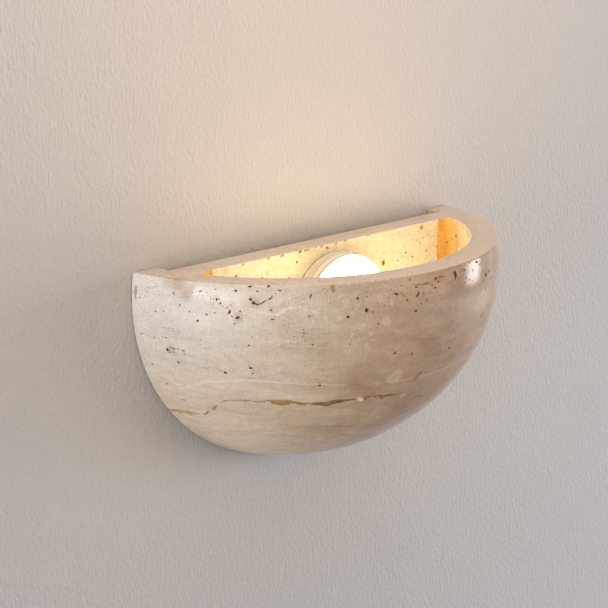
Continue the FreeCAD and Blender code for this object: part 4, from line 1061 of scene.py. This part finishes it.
rows = ROWS_PER_RIB * round(2 * math.pi * LAMP_RADIUS / RIB_PITCH)
housing_section = [(0, BOSS_BACK), (BOSS_RADIUS - EDGE, BOSS_BACK)]
housing_section += arc(BOSS_RADIUS - EDGE, BOSS_BACK + EDGE, EDGE, -90, 0, 3)[1:]
housing_section += [(BOSS_RADIUS, HOUSING_BACK), (LAMP_RADIUS - REAR_EDGE, HOUSING_BACK)]
housing_section += arc(LAMP_RADIUS - REAR_EDGE, HOUSING_BACK + REAR_EDGE, REAR_EDGE, -90, 0, 4)[1:]
side_start = HOUSING_BACK + REAR_EDGE
housing_section += [(LAMP_RADIUS, side_start + LAND), (LAMP_RADIUS, side_start + 2 * LAND),
                    (LAMP_RADIUS, RING_BACK - 3 * LAND), (LAMP_RADIUS, RING_BACK - 2 * LAND),
                    (LAMP_RADIUS, RING_BACK - SEAM), (LAMP_RADIUS - 2 * SEAM, RING_BACK),
                    (LIP_RADIUS, RING_BACK), (LIP_RADIUS - SHELL, RING_BACK),
                    (LIP_RADIUS - SHELL, HOUSING_BACK + SHELL), (BOSS_RADIUS - SHELL, HOUSING_BACK + SHELL),
                    (BOSS_RADIUS - SHELL, BOSS_BACK + SHELL), (0, BOSS_BACK + SHELL)]
housing = turned("ribbed_lamp_housing", housing_section, rows)
pull_rows(housing, rows, side_start + 1.5 * LAND, RING_BACK - 2.5 * LAND, LAMP_RADIUS - EDGE,
          1 - RIB_HEIGHT / LAMP_RADIUS)

parting_depth = RING_FRONT - 5 * EDGE
ring_section = [(LAMP_RADIUS - 2 * SEAM, RING_BACK), (LAMP_RADIUS, RING_BACK + SEAM),
                (LAMP_RADIUS, parting_depth - PARTING), (LAMP_RADIUS - PARTING, parting_depth),
                (LAMP_RADIUS, parting_depth + PARTING)]
ring_section += arc(LAMP_RADIUS - 2 * EDGE, RING_FRONT - 2 * EDGE, 2 * EDGE, 0, 90, 6)
ring_section += [(LIP_RADIUS + PARTING, RING_FRONT), (LIP_RADIUS, RING_FRONT - PARTING),
                 (LIP_RADIUS, RING_BACK), (LAMP_RADIUS - 2 * SEAM, RING_BACK)]
front_ring = turned("smooth_front_ring", ring_section, 160)

crown_shares = ((0, 1), (0.3, 0.93), (0.6, 0.72), (0.85, 0.36))
diffuser_section = [(DIFFUSER_RADIUS * out, RING_FRONT + CROWN * rise) for out, rise in crown_shares]
diffuser_section += arc(DIFFUSER_RADIUS - EDGE, RING_FRONT - EDGE, EDGE, 75, 0, 3)
inner_radius = DIFFUSER_RADIUS - SHELL
diffuser_section += [(DIFFUSER_RADIUS, RING_BACK + SHELL * 2), (inner_radius, RING_BACK + SHELL * 2),
                     (inner_radius, RING_FRONT - SHELL), (0, RING_FRONT + CROWN - SHELL)]
diffuser = turned("domed_diffuser", diffuser_section, 120)
for piece, node in ((housing, "lamp_housing"), (front_ring, "lamp_front_ring"), (diffuser, "lamp_diffuser")):
    smooth(piece, 35)
    describe(piece)
    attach(piece, "lamp")
    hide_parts(node)

# %% [markdown]
# ## Finishes of the lamp
# The housing and ring are moulded in white polycarbonate, a little see-through, with the fine spark
# finish of the tool. The diffuser is opal plastic and glows: its light is warm, and strong enough that
# the face itself reads white and the stone beside it takes the colour.


# %% Plastics
def moulded_plastic(name, light, dark, roughness, emission=None, strength=0.0):
    """Moulded plastic: two close tones of one colour, and the fine grain of the tool."""
    made, add, shader, place = new_finish(name)
    clouds = noise(add, place, 14, 2.0)
    colour = add("ValToRGB", {0: clouds}, stops=[(0.35, dark), (0.65, light)])
    grain = noise(add, place, 0.8, 2.0)
    gloss = remap(add, grain, (0.3, 0.7), (roughness - 0.05, roughness + 0.07))
    bump = add("Bump", {"Height": grain, "Distance": 0.01 * MM, "Strength": 1.0})
    set_inputs(shader, {"Base Color": colour, "Roughness": gloss, "Normal": bump})
    if emission:
        set_inputs(shader, {"Emission Color": paint(emission), "Emission Strength": strength})
    return made


LAMP_GLOW = "#FFEDCE"
GLOW_STRENGTH = 21.0
RING_GLOW = 0.11
LIP_GLOW = 3.0
lamp_white = moulded_plastic("white_polycarbonate", "#EDE2CF", "#E5D8C3", 0.38)
ring_white = moulded_plastic("lit_white_polycarbonate", "#EDE2CF", "#E5D8C3", 0.38, LAMP_GLOW)
opal = moulded_plastic("opal_polycarbonate", "#FBF8F2", "#F6F1E8", 0.45, LAMP_GLOW, GLOW_STRENGTH)

# The ring lets a little of the diffuser's light through, and its lip ahead of the parting line shines
add = partial(add_node, ring_white.node_tree)
ring_shader = ring_white.node_tree.nodes["Principled BSDF"]
depth = add("SeparateXYZ", {0: add("TexCoord", output="Object")}, output="Y")
glow = remap(add, depth, (-parting_depth - 3 * PARTING, -parting_depth - 5 * PARTING), (RING_GLOW, LIP_GLOW))
# Shade and dust lie in the seam behind the ring and in its parting line
colour = ring_shader.inputs["Base Color"].links[0].from_socket
for line in (RING_BACK, parting_depth):
    shade = remap(add, gap_between(add, depth, -line), (PARTING / 2, 2 * PARTING), (0.85, 0))
    colour = glaze(add, shade, colour, paint("#7A6148"))
set_inputs(ring_shader, {"Base Color": colour, "Emission Strength": glow})
for piece, finish in ((housing, lamp_white), (front_ring, ring_white), (diffuser, opal)):
    piece.data.materials.append(finish)
print("the diffuser glows at", GLOW_STRENGTH, "and the ring beside it at", RING_GLOW)

# %% [markdown]
# ## Hardware
# The plate, strap, screws, nuts, block and leads keep the measured shapes. Real ones have eased edges
# that catch the light, so each is copied, its loose triangles are merged, and its sharp edges get a
# small bevel.


# %% Metals
def worked_metal(name, light, dark, roughness, grain_mm, stretch=(1.0, 1.0, 1.0)):
    """Metal with the tone of its finish, whose grain may be stretched along a brushed direction."""
    made, add, shader, place = new_finish(name)
    drawn = add("VectorMath", {0: place, 1: stretch}, operation="MULTIPLY")
    grain = noise(add, drawn, grain_mm, 4.0)
    colour = add("ValToRGB", {0: grain}, stops=[(0.35, dark), (0.65, light)])
    gloss = remap(add, grain, (0.3, 0.7), (roughness - 0.08, roughness + 0.1))
    bump = add("Bump", {"Height": grain, "Distance": 0.01 * MM, "Strength": 1.0})
    set_inputs(shader, {"Base Color": colour, "Roughness": gloss, "Normal": bump, "Metallic": 1.0})
    return made


finishes = {
    "travertine": stone_finishes[POLISHED],
    # Hot-dip galvanised steel sheet: grey zinc with soft spangles
    "galvanised_steel": worked_metal("galvanised_steel", "#B9BCBE", "#9DA1A4", 0.42, 7),
    # Zinc-plated turned steel: bright, faintly blue
    "zinc_steel": worked_metal("zinc_plated_steel", "#C9CDD2", "#AEB3B9", 0.28, 2),
    # Turned brass, left bare and a little tarnished
    "brass": worked_metal("turned_brass", "#CFAE62", "#B08E48", 0.27, 3),
    # Tinned copper: soft silvery
    "tinned_copper": worked_metal("tinned_copper", "#CBC8C0", "#B5B1A8", 0.32, 2),
    # Phosphor bronze strip: pinkish and springy, rolled smooth
    "spring_bronze": worked_metal("rolled_phosphor_bronze", "#C89A6A", "#AE8053", 0.3, 2, (0.2, 1, 1)),
    # Nickel-plated pins: bright and warm grey
    "nickel_plate": worked_metal("nickel_plate", "#CDC7BC", "#B7B1A5", 0.2, 2),
    # Bare aluminium board
    "board_aluminium": worked_metal("rolled_aluminium", "#D6D7D8", "#C2C4C6", 0.33, 3, (0.1, 1, 1)),
    # EPDM washers: dull black rubber
    "black_rubber": moulded_plastic("black_epdm_rubber", "#2B2A29", "#222121", 0.75),
    # Nylon bushing and terminal block, moulded
    "black_nylon": moulded_plastic("black_nylon", "#2A2A2B", "#1F1F20", 0.5),
    "white_nylon": moulded_plastic("white_nylon", "#ECEAE3", "#E1DED5", 0.42),
    # PVC insulation, drawn round the wire
    "brown_insulation": moulded_plastic("brown_pvc", "#6B4228", "#5A3520", 0.4),
    "blue_insulation": moulded_plastic("blue_pvc", "#2F64A8", "#285793", 0.4),
    "red_insulation": moulded_plastic("red_pvc", "#A8342B", "#922B23", 0.4),
    # White PBT of the lampholder
    "white_holder_plastic": moulded_plastic("white_pbt", "#EDE9E1", "#E3DED4", 0.4),
    "white_lamp_plastic": lamp_white,
    "opal_diffuser": opal,
    # Phosphor over the chips: matt egg yellow
    "phosphor_chip": moulded_plastic("yellow_phosphor", "#E9C95A", "#DDB945", 0.55),
    # Glass-epoxy board under green lacquer
    "circuit_board": moulded_plastic("green_board_lacquer", "#2F6B45", "#255A38", 0.3),
    # Epoxy and sleeve of the driver's parts
    "driver_black": moulded_plastic("black_epoxy", "#2E2D2F", "#232224", 0.35)}


# Green-and-yellow PVC: the yellow runs as a stripe along the green
def striped_insulation():
    made, add, shader, place = new_finish("green_yellow_pvc")
    # A wave's bands run through 20 radians in each unit of its scale
    bands = add("TexWave", {"Vector": place, "Scale": per(2.2) / 20, "Distortion": 1.0, "Detail": 1.0},
                output=1, bands_direction="Z")
    colour = add("ValToRGB", {0: bands}, stops=[(0.45, "#2E8A3C"), (0.55, "#E3CF33")])
    set_inputs(shader, {"Base Color": colour, "Roughness": 0.4})
    return made


finishes["green_yellow_insulation"] = striped_insulation()
print(len(finishes), "finishes for", len(nodes), "measured pieces")


# %% Ease the measured hardware
def eased(node, body, width, slot):
    """A copy of a measured piece with merged faces and small bevels on its edges."""
    source = nodes[node]
    piece = source.copy()
    piece.data = source.data.copy()
    piece.parent = None
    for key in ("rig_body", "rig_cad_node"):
        if key in piece:
            del piece[key]
    bpy.context.scene.collection.objects.link(piece)
    piece.name = "eased_" + node
    piece.data.materials.clear()
    piece.data.materials.append(finishes[slot])
    edit_all(piece)
    bpy.ops.mesh.remove_doubles(threshold=0.002 * MM)
    bpy.ops.mesh.dissolve_limited(angle_limit=math.radians(1))
    end_edit()
    if width:
        use_modifier(piece, "BEVEL", width=width, segments=2, limit_method="ANGLE",
                     angle_limit=math.radians(38))
    smooth(piece, 35)
    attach(piece, body)
    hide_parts(node)
    return piece


# Width of each piece's bevels in millimetres; nought only smooths it
EASE = {"holder_body": 0.4, "holder_cover": 0.3, "holder_strap": 0.2, "wall_plate": 0.25, "wall_studs": 0.3,
        "stud_washers": 0.3, "terminal_block": 0.4, "cable_bushing": 0, "earth_lug": 0.1,
        "earth_screw": 0.15, "holder_screws": 0.12, "terminal_screws": 0.12,
        "terminal_fixing_screw": 0.12, "left_knurled_nut": 0.1, "right_knurled_nut": 0.1,
        "live_lead": 0, "neutral_lead": 0, "earth_lead": 0, "terminal_barrels": 0.1}
bodies = {node: body for body, members in frame["record"]["behaviour"]["bodies"].items() for node in members}
slots = {subpart["node"]: subpart["material_slot"] for subpart in frame["record"]["subparts"]}
for node, width in EASE.items():
    eased(node, bodies[node], width * MM, slots[node])
for node, piece in nodes.items():
    piece.data.materials.clear()
    piece.data.materials.append(finishes[slots[node]])
print(len(EASE), "pieces have eased edges, and the rest keep the measured mesh with a new finish")

# %% [markdown]
# ## Wall, floor and light
# The light hangs on a plain painted wall, over a plain pale floor. So that its back can be looked at too,
# the wall is clear from behind, and it has an opening that the stone covers. Two soft boxes stand low at
# the right and the left, where the stone's two reflections say they stood. Fills and a pale world light
# the rest, and one faint warm light stands for what the lamp's glow leaves on the wall above.

# %% Wall and floor
WALL_BEHIND = 0.5 * MM
ROOM = 6.0
OPENING_INSIDE = 3 * MM
OPENING_BELOW_RIM = 24 * MM
FLOOR_BELOW = 0.62


def painted(name, colour, nap_mm, see_through):
    """Matt paint with the nap of the roller."""
    made, add, shader, place = new_finish(name)
    rolled = add("VectorMath", {0: place, 1: (1.0, 1.0, 0.5)}, operation="MULTIPLY")
    nap = noise(add, rolled, nap_mm, 2.0, distortion=0.4)
    bump = add("Bump", {"Height": nap, "Distance": 1.3 * MM, "Strength": 1.0})
    set_inputs(shader, {"Base Color": paint(colour), "Roughness": 0.9, "Specular IOR Level": 0.2,
                        "Normal": bump})
    if see_through:
        behind = add("NewGeometry", output="Backfacing")
        clear = add("BsdfTransparent")
        both = add("MixShader", {0: behind, 1: shader.outputs[0], 2: clear})
        set_inputs(made.node_tree.nodes["Material Output"], {"Surface": both})
    return made


bpy.ops.object.select_all(action="DESELECT")
bpy.ops.mesh.primitive_circle_add(vertices=128, radius=1.0, location=(0, WALL_BEHIND, widest),
                                  rotation=(math.pi / 2, 0, 0))
bpy.context.object.scale = (half_width - OPENING_INSIDE, bowl_height - WIDEST_BELOW_RIM - OPENING_INSIDE, 1)
wall = fresh("wall")
opening_top = rim - OPENING_BELOW_RIM
pick(wall, "VERT", lambda vertex: vertex.co.z > opening_top)
bpy.ops.transform.resize(value=(1, 1, 0), center_override=(0, WALL_BEHIND, opening_top))
bpy.ops.mesh.select_all(action="SELECT")
bpy.ops.mesh.extrude_region_move()
bpy.ops.transform.resize(value=(ROOM / bowl_height, 1, ROOM / bowl_height),
                         center_override=(0, WALL_BEHIND, 0))
end_edit()
if wall.data.polygons[0].normal.y > 0:
    edit_all(wall)
    bpy.ops.mesh.flip_normals()
    end_edit()
describe(wall)
wall.data.materials.append(painted("matt_wall_paint", "#BFBDBF", 1.9, True))
wall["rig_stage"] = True
bpy.ops.object.select_all(action="DESELECT")
bpy.ops.mesh.primitive_plane_add(size=ROOM, location=(0, 0, -FLOOR_BELOW))
floor = fresh("floor")
floor.data.materials.append(painted("pale_floor", "#D8D5D1", 3.0, False))
floor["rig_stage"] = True


# %% Soft boxes and world
def soft_box(name, azimuth, elevation, distance, width, height, power, glossy=True, colour="#FFFFFF",
             aim=(0, 0, 0), spread=180):
    """Rectangular soft light, seen from its aim: azimuth 0 is straight in front, and 90 is to the right."""
    data = bpy.data.lights.new(name, "AREA")
    data.shape = "RECTANGLE"
    data.size = width
    data.size_y = height
    data.energy = power
    data.color = paint(colour)[:3]
    data.spread = math.radians(spread)
    box = bpy.data.objects.new(name, data)
    bpy.context.scene.collection.objects.link(box)
    turn, rise = math.radians(azimuth), math.radians(elevation)
    way = Vector((math.sin(turn) * math.cos(rise), -math.cos(turn) * math.cos(rise), math.sin(rise)))
    box.location = Vector(aim) + way * distance
    box.rotation_euler = way.to_track_quat("Z", "Y").to_euler()
    box.visible_camera = False
    box.visible_glossy = glossy


soft_box("right_soft_box", 70, -4, 2.2, 0.46, 0.54, 5.4)
soft_box("left_soft_box", -75, -3, 2.2, 0.98, 0.28, 3.6)
soft_box("right_fill", 62, -2, 2.4, 2.0, 1.0, 33.5, glossy=False)
soft_box("left_fill", -84, 0, 2.2, 0.5, 0.9, 14, glossy=False)
soft_box("top_fill", -12, 60, 0.7, 0.6, 0.4, 1.2)
soft_box("warm_glow", 0, 10, 0.6, 0.5, 0.4, 0.6, glossy=False, colour="#FFC54A",
         aim=(-25 * MM, 0, 250 * MM), spread=100)
soft_box("back_fill", 180, 10, 1.6, 0.8, 0.6, 10)
world = bpy.data.worlds.new("pale_room")
bpy.context.scene.world = world
world.use_nodes = True
set_inputs(world.node_tree.nodes["Background"], {"Color": paint("#FFFFFF"), "Strength": 0.4})
bpy.context.scene.view_settings.view_transform = "Standard"

# %% Measure the dressed model
bpy.context.view_layer.update()
low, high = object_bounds()
print("the dressed model measures", [round((b - a) / MM, 2) for a, b in zip(low, high)], "mm")
